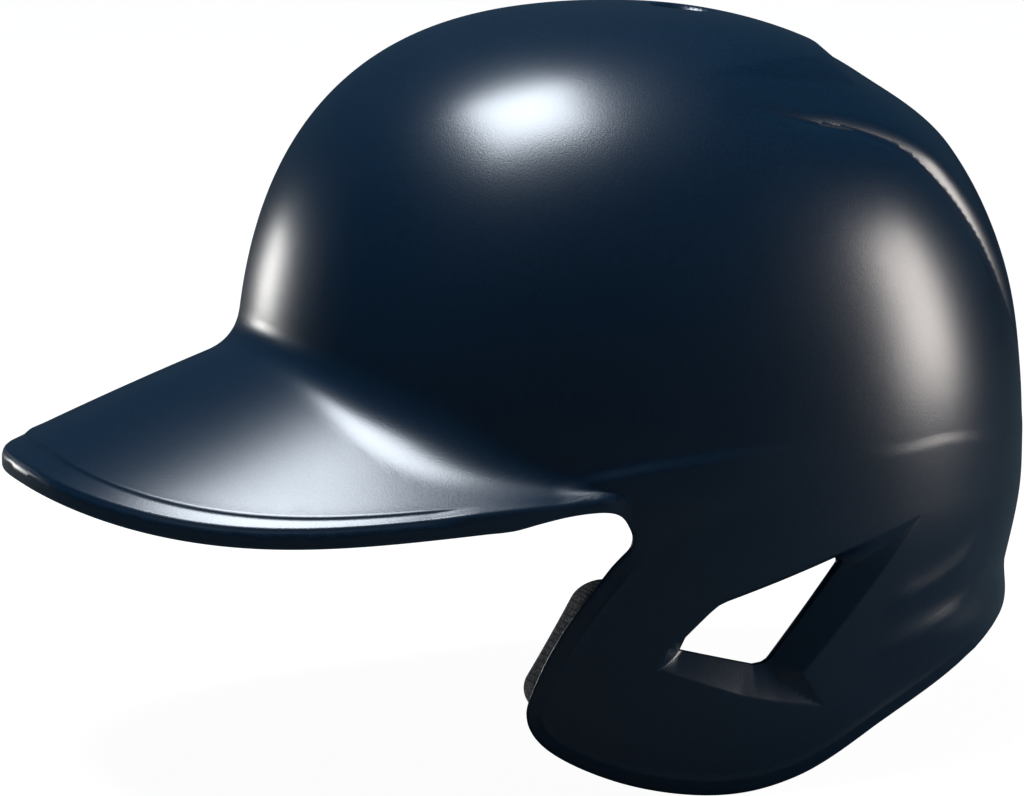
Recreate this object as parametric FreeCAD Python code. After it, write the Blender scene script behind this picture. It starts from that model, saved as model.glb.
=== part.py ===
import FreeCAD, Part
import math
import os
from FreeCAD import Rotation, Vector

# Batting helmet with one ear flap, on the wearer's left. Millimetres.
# The face side is -Y, the wearer's left is +X and the crown is +Z.
# The origin is the centre of the head opening, level with the brow.

# Outer surface of the shell
half_width = 104.0
half_length = 118.0
centre_y = 5.5            # the plan oval's centre lies behind the origin
crown_z = 98.4
equator_z = -35.3         # the widest level
crown_shift = -8.0        # the crown leans towards the face
crown_power = 2.53        # fullness of the vertical section
corner_swell = 0.032      # fullness of the plan oval between its axes
side_tuck = 0.10          # how far the walls draw in below the equator
nape_tuck = 0.09          # the same, added at the back
tuck_ease = 0.20
tuck_span = 100.0
base_z = -125.0           # level to which the walls are drawn before trimming

# Walls and layers
shell_wall = 3.0
bond_gap = 0.3            # adhesive film between the shell and the liner
liner_thickness = 10.0
tape_bond = 0.2
hook_thickness = 1.2
tape_gap = 0.3            # running gap where a pad pulls off
loop_thickness = 0.8
cover_skin = 0.8
pad_thickness = 7.0
cheek_thickness = 12.0
tape_margin = 7.0         # from a pad's edge to the edge of its tapes

# Bill
bill_half_width = 98.0
bill_root_y = -50.0
bill_length = 133.5
bill_power = 2.2
bill_wall = 3.0
bill_lip = 4.0            # height of the turned-down edge
bill_lip_wall = 3.5
bill_edge_z = -26.0       # foot of the edge at the tip
bill_edge_dip = (-19.0, 7.0, 8.5)
bill_rise = 50.0
bill_side_rise = 31.0
bill_tail_y = -28.0       # the bill's sides run back into the shell to here

# Rim of the head opening, side view (y, z): the flap side and the open side
flap_rim = [(-50, -30), (-44.5, -31.2), (-40.5, -34), (-39.3, -38.5), (-44.8, -45.8), (-55.5, -62.5), (-62, -79),
            (-63.2, -89), (-57.5, -96), (-37, -107.8), (-8, -114.8), (15, -112.6), (45, -100.8), (76, -90), (104, -82.5)]
open_rim = [(-50, -30), (-20, -33.5), (20, -37.5), (50, -47), (76, -62), (92, -75), (104, -82.5)]
rim_front = (-150, -30)
rim_back = (150, -73)

# Ear vent: a hole inside a sloped pocket, side view (y, z)
vent_hole = [(-23.5, -73.5), (-11.3, -59.9), (28.3, -49.8), (4.5, -78.8)]
vent_pocket = [(-30, -77.5), (-12, -56.8), (52, -39.7), (20, -91.0)]
vent_face_inset = 2.0     # the pocket is cut in from a plane this far inside the widest point
vent_face_x = half_width - vent_face_inset
vent_depth = 5.5

# Crown vent
crown_vent_y = 22.0
crown_vent_mouth = 10.0
crown_vent_throat = 5.5
crown_vent_depth = 5.0
collar_wall = 2.5
boss_inset = 0.4          # bosses behind the vents stop this far under the outer surface

# Liner outlines, side view (y, z)
liner_seam_z = -17.5
seam_gap = 0.8
liner_brow = [(-150, 5), (-105, 5), (-62, liner_seam_z)]
flap_liner_rim = [(-33, -40), (-48, -62), (-56, -80), (-56.5, -89), (-51, -94), (-34, -102), (-8, -108.5), (14, -106.5),
                  (44, -95), (66, -88)]
nape_liner_rim = [(66, -50), (100, -65), (150, -75)]
ear_hole = (6.0, -68.0, 38.0, 26.0)      # centre y and z, half length and half height

# Pads: the side they face, centre (across, up), size, corner radius, tilt in degrees
pads = {
    "forehead": ("front", (0, 27), (112, 30), 12, 0),
    "rear": ("back", (0, -24), (84, 40), 14, 0),
    "crown": ("top", (0, -22), (60, 58), 20, 0),
    "cheek": ("left", (-38.5, -77), (20, 44), 9, -17),
    "left_temple": ("left", (None, 10), (56, 34), 12, 0),
    "right_temple": ("right", (None, 10), (56, 34), 12, 0),
    "ear": ("left", (55, -64), (16, 44), 7, 0),
}
taped_pads = ("forehead", "rear", "crown", "cheek")

temple_gap = 4.46         # along the side, from the forehead pad's end to the temple pads
far = 160.0               # reach of the cutting solids
domes = {}
layers = {}


def ring_point(angle, z, inset):
    """A point of the oval at one level, with the wall moved in by inset."""
    top = crown_z - inset
    along = math.sin(angle)
    swell = 1 + corner_swell * math.sin(2 * angle) ** 2
    if z >= equator_z:
        rise = (z - equator_z) / (top - equator_z)
        scale = (1 - rise ** crown_power) ** (1 / crown_power)
        shift = crown_shift * rise ** 2
    else:
        drop = (equator_z - z) / tuck_span
        ease = drop ** 3 / (drop ** 2 + tuck_ease ** 2)
        scale = 1 - ease * (side_tuck + nape_tuck * max(along, 0) ** 2)
        shift = 0
    x = (half_width - inset) * scale * swell * math.cos(angle)
    y = centre_y + shift + (half_length - inset) * scale * swell * along
    return Vector(x, y, z)


def front_y(x, z, inset):
    """The y at which the front of the oval is x away from the middle."""
    low, high = -math.pi / 2, 0.0
    for step in range(40):
        middle = (low + high) / 2
        if ring_point(middle, z, inset).x < x:
            low = middle
        else:
            high = middle
    return ring_point(low, z, inset).y


def dome(inset, around=24, low=4, high=9):
    """The closed head form whose surface lies inset inside the shell's outer surface."""
    if inset not in domes:
        top = crown_z - inset
        levels = [base_z + (equator_z - base_z) * i / low for i in range(low)]
        levels += [equator_z + (top - equator_z) * math.sin(math.pi / 2 * i / high) for i in range(high)]
        sections = []
        for z in levels:
            curve = Part.BSplineCurve()
            curve.interpolate([ring_point(2 * math.pi * j / around, z, inset) for j in range(around)], PeriodicFlag=True)
            sections.append(Part.Wire([curve.toShape()]))
        apex = Part.Vertex(Vector(0, centre_y + crown_shift, top))
        domes[inset] = Part.makeLoft(sections + [apex], True, False)
    return domes[inset]


def layer(outer, inner):
    """The skin between two insets."""
    if (outer, inner) not in layers:
        layers[outer, inner] = dome(outer).cut(dome(inner))
    return layers[outer, inner]


def side_prism(edges, x_from, x_to):
    """A side-view outline at x = 0, drawn out along X."""
    face = Part.Face(Part.Wire(edges))
    face.translate(Vector(x_from, 0, 0))
    return face.extrude(Vector(x_to - x_from, 0, 0))


def polygon(points, x=0.0):
    corners = [Vector(x, y, z) for y, z in points]
    return Part.makePolygon(corners + corners[:1])


def side_curve(points):
    curve = Part.BSplineCurve()
    curve.interpolate([Vector(0, y, z) for y, z in points])
    return curve.toShape()


def lines(points):
    corners = [Vector(0, y, z) for y, z in points]
    return [Part.makeLine(a, b) for a, b in zip(corners, corners[1:])]


def below(rim, x_from, x_to):
    """Everything under a rim curve, on one side of the helmet."""
    edges = lines([rim_front, rim[0]]) + [side_curve(rim)]
    edges += lines([rim[-1], rim_back, (far, -far), (-far, -far), rim_front])
    return side_prism(edges, x_from, x_to)


def grown(points, distance):
    """A convex outline moved outwards by distance."""
    moved = []
    count = len(points)
    centre_u = sum(p[0] for p in points) / count
    centre_v = sum(p[1] for p in points) / count
    sides = []
    for i in range(count):
        (u0, v0), (u1, v1) = points[i], points[(i + 1) % count]
        length = math.hypot(u1 - u0, v1 - v0)
        nu, nv = (v1 - v0) / length, (u0 - u1) / length
        if nu * (u0 - centre_u) + nv * (v0 - centre_v) < 0:
            nu, nv = -nu, -nv
        sides.append((nu, nv, nu * u0 + nv * v0 + distance))
    for i in range(count):
        (a, b, c), (d, e, f) = sides[i - 1], sides[i]
        det = a * e - b * d
        moved.append(((c * e - b * f) / det, (a * f - c * d) / det))
    return moved


def ear_pocket(extra):
    """The sloped pocket of the ear vent, grown by extra, from outside the shell to its floor."""
    outer, floor = grown(vent_pocket, extra), grown(vent_hole, extra)
    mouth = [(2 * a - c, 2 * b - d) for (a, b), (c, d) in zip(outer, floor)]
    x_floor = vent_face_x - vent_depth - (shell_wall * 0.8 if extra else 0)
    x_mouth = 2 * vent_face_x - x_floor
    return Part.makeLoft([polygon(mouth, x_mouth), polygon(floor, x_floor)], True, True)


def bill_reach(x, y):
    """0 at the bill's root centre and 1 on its outline."""
    forward = max(bill_root_y - y, 0) / bill_length
    return ((abs(x) / bill_half_width) ** bill_power + forward ** bill_power) ** (1 / bill_power)


def bill_foot(x):
    """Height of the edge's foot."""
    u = (x / bill_half_width) ** 2
    a, b, c = bill_edge_dip
    return bill_edge_z + a * u + b * u ** 2 + c * u ** 3


def bill_top(x, y):
    rise = bill_rise + bill_side_rise * (x / bill_half_width) ** 2
    return bill_foot(x) + bill_lip + rise * (1 - bill_reach(x, y))


def bill_surface():
    reach_x = bill_half_width + 12
    rows = []
    for i in range(19):
        x = -reach_x + 2 * reach_x * i / 18
        front, back = bill_root_y - bill_length - 12, bill_tail_y + 4
        ys = [front + (back - front) * j / 18 for j in range(19)]
        rows.append([Vector(x, y, bill_top(x, y)) for y in ys])
    surface = Part.BSplineSurface()
    surface.interpolate(rows)
    return surface.toShape()


def bill_outline(inset, steps=28):
    """The bill's plan as a prism, its sides running back into the shell."""
    half, length = bill_half_width - inset, bill_length - inset
    arc = []
    for i in range(steps + 1):
        a = math.pi * i / steps
        across = math.copysign(abs(math.cos(a)) ** (2 / bill_power), math.cos(a))
        arc.append(Vector(half * across, bill_root_y - length * math.sin(a) ** (2 / bill_power), -far))
    curve = Part.BSplineCurve()
    curve.interpolate(arc)
    left, right = Vector(half, bill_tail_y, -far), Vector(-half, bill_tail_y, -far)
    edges = [curve.toShape(), Part.makeLine(arc[-1], right), Part.makeLine(right, left), Part.makeLine(left, arc[0])]
    return Part.Face(Part.Wire(edges)).extrude(Vector(0, 0, 2 * far))


def bill_solid():
    surface = bill_surface()
    sheet = surface.extrude(Vector(0, 0, -bill_wall)).common(bill_outline(0))
    lip = surface.extrude(Vector(0, 0, -bill_lip)).common(bill_outline(0).cut(bill_outline(bill_lip_wall)))
    return sheet.fuse(lip).cut(dome(shell_wall))


def under_bill():
    """The space under the bill, which the shell's front wall doesn't enter."""
    surface = bill_surface()
    surface.translate(Vector(0, 0, -bill_wall))
    front = Part.makeBox(2 * far, far, 2 * far, Vector(-far, bill_root_y - 4 - far, -far))
    return surface.extrude(Vector(0, 0, -far)).common(front)


def crown_funnel(extra):
    top = crown_z - 0.6
    depth = crown_vent_depth + extra
    funnel = Part.makeCone(crown_vent_throat + extra, crown_vent_mouth + extra, depth)
    funnel.translate(Vector(0, crown_vent_y, top - depth))
    throat = Part.makeCylinder(crown_vent_throat + extra, depth, Vector(0, crown_vent_y, top - depth - 0.01))
    return funnel.fuse(throat)


def outer_shell():
    shell = layer(0, shell_wall)
    for waste in (below(flap_rim, 0, far), below(open_rim, -far, 0), under_bill()):
        shell = shell.cut(waste)
    for boss in (bill_solid(), ear_pocket(shell_wall).common(dome(boss_inset)),
                 crown_funnel(collar_wall).common(dome(boss_inset))):
        shell = shell.fuse(boss)
    hole = Part.Face(polygon(vent_hole, half_width / 2)).extrude(Vector(far, 0, 0))
    bore = Part.makeCylinder(crown_vent_throat, half_width, Vector(0, crown_vent_y, 0))
    for waste in (ear_pocket(0), hole, crown_funnel(0), bore):
        shell = shell.cut(waste)
    return shell


liner_outer = shell_wall + bond_gap
liner_inner = liner_outer + liner_thickness


def crown_liner():
    edges = lines(liner_brow + [(far, liner_seam_z), (far, -far), (-far, -far), liner_brow[0]])
    liner = layer(liner_outer, liner_inner).cut(side_prism(edges, -far, far))
    vent_radius = crown_vent_mouth + collar_wall + bond_gap
    vent = Part.makeCylinder(vent_radius, half_width, Vector(0, crown_vent_y, 0))
    return liner.cut(vent)


def oval_bore(oval):
    """An oval hole along X, through the flap side."""
    y, z, half_long, half_high = oval
    turns = [2 * math.pi * i / 16 for i in range(16)]
    curve = Part.BSplineCurve()
    curve.interpolate([Vector(half_width / 3, y + half_long * math.cos(a), z + half_high * math.sin(a)) for a in turns],
                      PeriodicFlag=True)
    return Part.Face(Part.Wire([curve.toShape()])).extrude(Vector(far, 0, 0))


def flap_liner():
    top = liner_seam_z - seam_gap
    rim = flap_liner_rim
    edges = [side_curve(rim)] + lines([rim[-1], (rim[-1][0], top), (rim[0][0], top), rim[0]])
    block = layer(liner_outer, liner_inner).common(side_prism(edges, half_width / 3, far))
    return block.cut([oval_bore(ear_hole), ear_pocket(shell_wall + bond_gap)])


def nape_liner():
    top = liner_seam_z - seam_gap
    rim = nape_liner_rim
    front = flap_liner_rim[-1][0] + seam_gap
    edges = lines([(front, top), (front, rim[0][1]), *rim[1:], (rim[-1][0], top), (front, top)])
    return layer(liner_outer, liner_inner).common(side_prism(edges, -far, far))


def temple_across(up, width, height):
    """The temple pads start a gap behind the forehead pad's end."""
    inner = liner_inner + tape_bond + pad_thickness
    return front_y(pads["forehead"][2][0] / 2, up + height / 2, inner) + temple_gap + width / 2


def pad_prism(name, margin):
    """The pad's rounded outline, set in by margin, drawn out towards the side that it faces."""
    side, (across, up), (width, height), radius, tilt = pads[name]
    if across is None:
        across = temple_across(up, width, height)
    w, h = width - 2 * margin, height - 2 * margin
    block = Part.makeBox(w, h, far, Vector(-w / 2, -h / 2, 0))
    corners = [e for e in block.Edges if abs(e.tangentAt(0).z) > 0.9]
    block = block.makeFillet(max(radius - margin, 2.0), corners)
    block.rotate(Vector(), Vector(0, 0, 1), tilt)
    columns = {
        "front": (Vector(1, 0, 0), Vector(0, 0, 1), Vector(across, 0, up)),
        "back": (Vector(-1, 0, 0), Vector(0, 0, 1), Vector(-across, 0, up)),
        "top": (Vector(1, 0, 0), Vector(0, 1, 0), Vector(across, up, 0)),
        "left": (Vector(0, 1, 0), Vector(0, 0, 1), Vector(0, across, up)),
        "right": (Vector(0, -1, 0), Vector(0, 0, 1), Vector(0, across, up)),
    }
    right, upward, place = columns[side]
    block.Placement = FreeCAD.Placement(place, Rotation(right, upward, right.cross(upward), "XYZ")).multiply(
        block.Placement)
    return block


def pad_pieces(name):
    """The pieces of one pad, from the liner inwards."""
    depth = cheek_thickness if name == "cheek" else pad_thickness
    start = liner_inner + tape_bond
    made = {}
    if name in taped_pads:
        tape = pad_prism(name, tape_margin)
        loop_start = start + hook_thickness + tape_gap
        made[name + "_hook_tape"] = layer(start, start + hook_thickness).common(tape)
        made[name + "_loop_tape"] = layer(loop_start, loop_start + loop_thickness).common(tape)
        start = loop_start + loop_thickness + tape_bond
    core = layer(start + cover_skin, start + depth - cover_skin).common(pad_prism(name, cover_skin))
    made[name + "_pad_cover"] = layer(start, start + depth).common(pad_prism(name, 0)).cut(core)
    made[name + "_pad_foam"] = core
    return made


def solid_of(shape):
    """The shape as one solid, or as its group of solids."""
    solids = shape.Solids
    return solids[0] if len(solids) == 1 else Part.makeCompound(solids)


nodes = {"outer_shell": outer_shell(), "crown_liner": crown_liner(), "flap_liner": flap_liner(), "nape_liner": nape_liner()}
for pad in pads:
    nodes.update(pad_pieces(pad))

os.makedirs("parts", exist_ok=True)
for node, shape in nodes.items():
    solid = solid_of(shape)
    box = solid.BoundBox
    print(f"{node:24s} valid {solid.isValid()} solids {len(solid.Solids)} volume {solid.Volume / 1000:8.2f} cm3 "
          f"x {box.XMin:.1f} {box.XMax:.1f} y {box.YMin:.1f} {box.YMax:.1f} z {box.ZMin:.1f} {box.ZMax:.1f}")
    solid.exportStep(f"parts/{node}.step")
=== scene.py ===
import math
import bmesh
import bpy
import numpy as np
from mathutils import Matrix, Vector
from mathutils.geometry import delaunay_2d_cdt


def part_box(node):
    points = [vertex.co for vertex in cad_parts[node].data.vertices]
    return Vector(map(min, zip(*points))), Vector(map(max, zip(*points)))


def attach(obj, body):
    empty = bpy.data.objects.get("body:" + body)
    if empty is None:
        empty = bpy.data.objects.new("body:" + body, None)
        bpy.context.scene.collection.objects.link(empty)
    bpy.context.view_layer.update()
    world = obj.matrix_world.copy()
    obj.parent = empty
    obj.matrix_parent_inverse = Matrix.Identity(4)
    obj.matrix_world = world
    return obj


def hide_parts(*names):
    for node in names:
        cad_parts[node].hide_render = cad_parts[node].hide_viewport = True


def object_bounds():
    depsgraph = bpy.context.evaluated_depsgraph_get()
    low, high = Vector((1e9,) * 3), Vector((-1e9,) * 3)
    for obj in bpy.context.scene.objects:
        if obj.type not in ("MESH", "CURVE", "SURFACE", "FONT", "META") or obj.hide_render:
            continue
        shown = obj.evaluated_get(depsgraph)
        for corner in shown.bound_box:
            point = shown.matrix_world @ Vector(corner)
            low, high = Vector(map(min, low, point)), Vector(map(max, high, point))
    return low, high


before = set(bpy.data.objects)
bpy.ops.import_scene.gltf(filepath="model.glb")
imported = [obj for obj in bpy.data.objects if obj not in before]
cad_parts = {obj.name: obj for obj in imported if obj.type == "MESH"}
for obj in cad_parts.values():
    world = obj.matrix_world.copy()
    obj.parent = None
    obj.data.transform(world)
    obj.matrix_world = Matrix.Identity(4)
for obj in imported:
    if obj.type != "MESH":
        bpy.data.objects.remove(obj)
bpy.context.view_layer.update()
millimetre = 0.001

# the form that every layer follows
shellBox = [np.array(corner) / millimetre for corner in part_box("outer_shell")]

form = {
    "halfWidth": shellBox[1][0],
    "halfLength": 118.0,
    "centreY": shellBox[1][1] - 118.0,
    "crownZ": shellBox[1][2],
    "equatorZ": -35.3,            # the widest level
    "crownShift": -8.0,           # the crown leans towards the face
    "crownPower": 2.53,
    "cornerSwell": 0.032,
    "sideTuck": 0.10,
    "napeTuck": 0.09,
    "tuckEase": 0.20,
    "tuckSpan": 100.0,
}


def domePoint(angle, z, inset=0.0):
    f = form
    top = f["crownZ"] - inset
    along = np.sin(angle)
    swell = 1 + f["cornerSwell"] * np.sin(2 * angle) ** 2
    rise = np.clip((z - f["equatorZ"]) / (top - f["equatorZ"]), 0, 1)
    upper = (1 - rise ** f["crownPower"]) ** (1 / f["crownPower"])
    drop = np.maximum(f["equatorZ"] - z, 0) / f["tuckSpan"]
    ease = drop ** 3 / (drop ** 2 + f["tuckEase"] ** 2)
    lower = 1 - ease * (f["sideTuck"] + f["napeTuck"] * np.maximum(along, 0) ** 2)
    scale = np.where(z >= f["equatorZ"], upper, lower)
    shift = f["crownShift"] * rise ** 2
    x = (f["halfWidth"] - inset) * scale * swell * np.cos(angle)
    y = f["centreY"] + shift + (f["halfLength"] - inset) * scale * swell * along
    return np.stack([x, y, z + 0 * x], -1)


def sectionTable():    # height and flat radius against the distance run down the side from the crown
    turn = np.linspace(0, math.pi / 2, 2400)
    p = 2 / form["crownPower"]
    reach = form["crownZ"] - form["equatorZ"]
    z = form["equatorZ"] + reach * np.cos(turn) ** p
    wide = np.sin(turn) ** p
    z = np.append(z, np.linspace(form["equatorZ"], -150, 1200)[1:])
    wide = np.append(wide, np.full(1199, 1.0))
    mean = (form["halfWidth"] + form["halfLength"]) / 2
    radius = mean * wide
    run = np.append(0, np.cumsum(np.hypot(np.diff(z), np.diff(radius))))
    inner = np.searchsorted(run, 6.0)    # near the crown the flat map is the run itself
    flat = run.copy()
    growth = np.diff(run) / np.maximum((radius[1:] + radius[:-1]) / 2, 1e-6)
    flat[inner:] = flat[inner] * np.exp(np.append(0, np.cumsum(growth[inner:])))
    return {"z": z, "run": run, "flat": flat, "stretch": flat / np.maximum(radius, 1e-6)}


section = sectionTable()


def layerPoint(angle, run, inset=0.0):    # a point of the layer that lies inset under the outer surface
    z = heightOfRun(run)
    rise = (z - form["equatorZ"]) / (form["crownZ"] - form["equatorZ"])
    lowered = form["equatorZ"] + rise * (form["crownZ"] - inset - form["equatorZ"])
    return domePoint(angle, np.where(rise > 0, lowered, z), inset)


def runOfHeight(z):
    return np.interp(-z, -section["z"], section["run"])


def heightOfRun(run):
    return np.interp(run, section["run"], section["z"])


def flatOfRun(run):
    return np.interp(run, section["run"], section["flat"])


def angleAt(y, z, side, inset=0.0):    # the angle round the dome at which a level passes y, on one side
    low = np.full(np.shape(y), -math.pi / 2)
    high = np.full(np.shape(y), math.pi / 2)
    for step in range(40):
        middle = (low + high) / 2
        under = domePoint(middle, z, inset)[..., 1] < y
        low = np.where(under, middle, low)
        high = np.where(under, high, middle)
    return low if side > 0 else math.pi - low


# the bill
bill = {
    "halfWidth": 98.0,
    "rootY": -50.0,
    "length": -47.8 - shellBox[0][1],
    "power": 2.2,
    "lip": 6.6,                   # height of the turned-down edge
    "wall": 3.0,
    "lipWall": 3.5,
    "edgeZ": -28.6,
    "edgeDip": (-19.0, 7.0, 8.5),
    "rise": 50.0,
    "sideRise": 31.0,
    "fillet": (7.0, 24.0),        # run of the hollow at the brow, in front and at the sides
    "shoulder": 1.5,
    "fade": 3.5,
    "narrow": 3.5,                # the ledge dies away where it is narrower than this
}


def billFoot(x):
    u = (x / bill["halfWidth"]) ** 2
    a, b, c = bill["edgeDip"]
    return bill["edgeZ"] + a * u + b * u ** 2 + c * u ** 3


def billReach(x, y):
    forward = np.maximum(bill["rootY"] - y, 0) / bill["length"]
    power = bill["power"]
    return ((np.abs(x) / bill["halfWidth"]) ** power + forward ** power) ** (1 / power)


def billTop(x, y):
    rise = bill["rise"] + bill["sideRise"] * (x / bill["halfWidth"]) ** 2
    return billFoot(x) + bill["lip"] + rise * (1 - billReach(x, y))


def browTable():    # by turn from the face: where the bill leaves the dome, which way and how far
    turn = np.linspace(0, math.radians(86), 700)
    angle = -math.pi / 2 + turn
    low = np.full(turn.shape, -40.0)
    high = np.full(turn.shape, 40.0)
    for step in range(40):
        z = (low + high) / 2
        p = domePoint(angle, z)
        under = z < billTop(p[:, 0], p[:, 1])
        low = np.where(under, z, low)
        high = np.where(under, high, z)
    root = domePoint(angle, low)
    way = np.stack([form["halfWidth"] * np.cos(angle), form["halfLength"] * np.sin(angle)], -1)
    way /= np.linalg.norm(way, axis=1)[:, None]
    near = np.full(turn.shape, -30.0)
    far = np.full(turn.shape, 120.0)
    for step in range(40):
        middle = (near + far) / 2
        p = root[:, :2] + way * middle[:, None]
        inside = billReach(p[:, 0], p[:, 1]) < 1
        near = np.where(inside, middle, near)
        far = np.where(inside, far, middle)
    return {"turn": turn, "z": low, "x": root[:, 0], "y": root[:, 1], "wayX": way[:, 0], "wayY": way[:, 1],
            "wide": near, "run": runOfHeight(low)}


brow = browTable()


def browAt(angle):    # the brow's values at any angle, mirrored on the far side
    turn = np.abs((angle + math.pi / 2 + math.pi) % (2 * math.pi) - math.pi)
    values = {k: np.interp(turn, brow["turn"], brow[k]) for k in brow}
    mirror = np.where(np.cos(angle) < 0, -1.0, 1.0)
    values["x"] = values["x"] * mirror
    values["wayX"] = values["wayX"] * mirror
    values["turn"] = turn
    return values


def bezier(t, a, b, c):
    t = t[..., None]
    return (1 - t) ** 2 * a + 2 * t * (1 - t) * b + t ** 2 * c


def billPoint(v, s, drop=0.0):
    x = v["x"] + v["wayX"] * s
    y = v["y"] + v["wayY"] * s
    return np.stack([x, y, billTop(x, y) - drop], -1)


def frontPoint(angle, run, v):    # the brow, the bill's top and its turned-down edge
    q = run - v["run"]
    wide = np.maximum(v["wide"], 0)
    front, side = bill["fillet"]
    full, most = front + (side - front) * np.clip(v["turn"] / 0.9, 0, 1) ** 2, 0.6 * wide + 1e-3
    soft = full * most / (full ** 3 + most ** 3) ** (1 / 3)
    rolled = np.minimum(bill["shoulder"], 0.3 * wide) + 1e-3
    top = billPoint(v, np.clip(q, 0, wide))
    corner = billPoint(v, 0 * q)
    edge = billPoint(v, wide)
    down = np.array([0.0, 0.0, -1.0])
    lip = edge + down * np.maximum(q - wide, 0)[..., None]
    start = domePoint(angle, heightOfRun(v["run"] - soft))
    hollow = bezier(np.clip((q + soft) / (2 * soft), 0, 1), start, corner, billPoint(v, soft))
    shoulder = bezier(np.clip((q - wide + rolled) / (2 * rolled), 0, 1), billPoint(v, wide - rolled), edge,
                      edge + down * rolled[..., None])
    point = np.where((q < soft)[..., None], hollow, top)
    point = np.where((q > wide - rolled)[..., None], shoulder, point)
    point = np.where((q > wide + rolled)[..., None], lip, point)
    return np.where((q < -soft)[..., None], domePoint(angle, heightOfRun(run)), point)


def underPoint(angle, run, v):    # the same course on the inside: the front wall, then the bill's underside
    q = run - v["run"]
    wide = np.maximum(v["wide"], 0)
    wall, lipWall, lip = bill["wall"], bill["lipWall"], bill["lip"]
    reach = np.clip((q - wall) / np.maximum(wide + lip - wall, 1), 0, 1)
    s = -wall + (wide + wall - lipWall) * reach
    step = (lip - wall) * np.clip((s - (wide - lipWall - 1.5)) / 1.5, 0, 1)
    under = billPoint(v, s, wall)
    under[..., 2] -= step * np.minimum(wide / 6, 1)
    inside = layerPoint(angle, np.minimum(run, v["run"] + wall), wall)
    soft = 2.2
    a = layerPoint(angle, v["run"] + wall - soft, wall)
    b = layerPoint(angle, v["run"] + wall, wall)
    reachSoft = soft / np.maximum(wide + lip - wall, soft)
    c = billPoint(v, -wall + (wide + wall - lipWall) * reachSoft, wall)
    bend = bezier(np.clip((q - wall + soft) / (2 * soft), 0, 1), a, b, c)
    point = np.where((q < wall - soft)[..., None], inside, bend)
    return np.where((q > wall + soft)[..., None], under, point)


def flatToPolar(flat):
    radius = np.hypot(flat[:, 0], flat[:, 1])
    return np.arctan2(flat[:, 1], flat[:, 0]), np.interp(radius, section["flat"], section["run"])


def polarToFlat(angle, run):
    radius = flatOfRun(run)
    return np.stack([radius * np.cos(angle), radius * np.sin(angle)], -1)


def basePoint(flat, inset=0.0):    # the plain form, before the pressed details
    angle, run = flatToPolar(flat)
    plain = layerPoint(angle, run, inset)
    v = browAt(angle)
    end = v["run"] + np.maximum(v["wide"], 0) + bill["lip"]
    held = np.minimum(run, end)
    course = frontPoint(angle, held, v) if inset == 0 else underPoint(angle, held, v)
    lifted = course - layerPoint(angle, held, inset)
    fade = np.clip(1 - (run - end) / bill["fade"], 0, 1)
    fade = fade * fade * (3 - 2 * fade)
    narrow = np.clip(v["wide"] / bill["narrow"], 0, 1)
    fade *= narrow * (2 - narrow)
    return plain + lifted * fade[:, None]


# outlines on the flat map
rim = {
    "flapSide": [(-44.5, -31.2), (-40.5, -34), (-39.3, -38.5), (-44.8, -45.8), (-55.5, -62.5), (-62.3, -79),
                 (-64.5, -91), (-60, -99.5), (-40, -110.4), (-9, -116.4), (15, -113.4), (45, -100.8),
                 (76, -87.8)],
    "nape": [(58, -80.6), (32, -76.8), (0, -75), (-28, -73), (-54, -67.2)],
    "openSide": [(72, -58), (50, -47), (20, -37.5), (-20, -33.5)],
    "billTurn": 56.0,             # degrees from the face to where the bill's edge gives way to the rim
    "spacing": 1.15,
    "round": 1.3,
    "rings": 6,
}


def smoothCurve(points, count, closed=False):    # a curve through the points, evenly run
    p = np.array(points, float)
    if closed:
        p = np.vstack([p[-1:], p, p[:2]])
    else:
        p = np.vstack([2 * p[0] - p[1], p, 2 * p[-1] - p[-2]])
    knots = np.append(0, np.cumsum(np.maximum(np.linalg.norm(np.diff(p, axis=0), axis=1), 1e-6) ** 0.5))
    out = []
    for i in range(1, len(p) - 2):
        t0, t1, t2, t3 = knots[i - 1:i + 3]
        t = np.linspace(t1, t2, 40, endpoint=False)[:, None]
        a1 = (t1 - t) / (t1 - t0) * p[i - 1] + (t - t0) / (t1 - t0) * p[i]
        a2 = (t2 - t) / (t2 - t1) * p[i] + (t - t1) / (t2 - t1) * p[i + 1]
        a3 = (t3 - t) / (t3 - t2) * p[i + 1] + (t - t2) / (t3 - t2) * p[i + 2]
        b1 = (t2 - t) / (t2 - t0) * a1 + (t - t0) / (t2 - t0) * a2
        b2 = (t3 - t) / (t3 - t1) * a2 + (t - t1) / (t3 - t1) * a3
        out.append((t2 - t) / (t2 - t1) * b1 + (t - t1) / (t2 - t1) * b2)
    out.append(p[-2:-1])
    return evenly(np.vstack(out), count)


def evenly(line, count):    # the same line with evenly run points
    run = np.append(0, np.cumsum(np.linalg.norm(np.diff(line, axis=0), axis=1)))
    at = np.linspace(0, run[-1], count)
    return np.stack([np.interp(at, run, line[:, k]) for k in range(line.shape[1])], -1)


def onSide(points, side=1):    # side-view points (y, z) carried to the flat map
    p = np.array(points, float)
    return polarToFlat(angleAt(p[:, 0], p[:, 1], side), runOfHeight(p[:, 1]))


def onBack(points):    # back-view points (x, z) carried to the flat map
    p = np.array(points, float)
    low, high = np.full(len(p), 0.0), np.full(len(p), math.pi)
    for step in range(40):
        middle = (low + high) / 2
        over = domePoint(middle, p[:, 1])[:, 0] > p[:, 0]
        low = np.where(over, middle, low)
        high = np.where(over, high, middle)
    return polarToFlat(low, runOfHeight(p[:, 1]))


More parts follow.
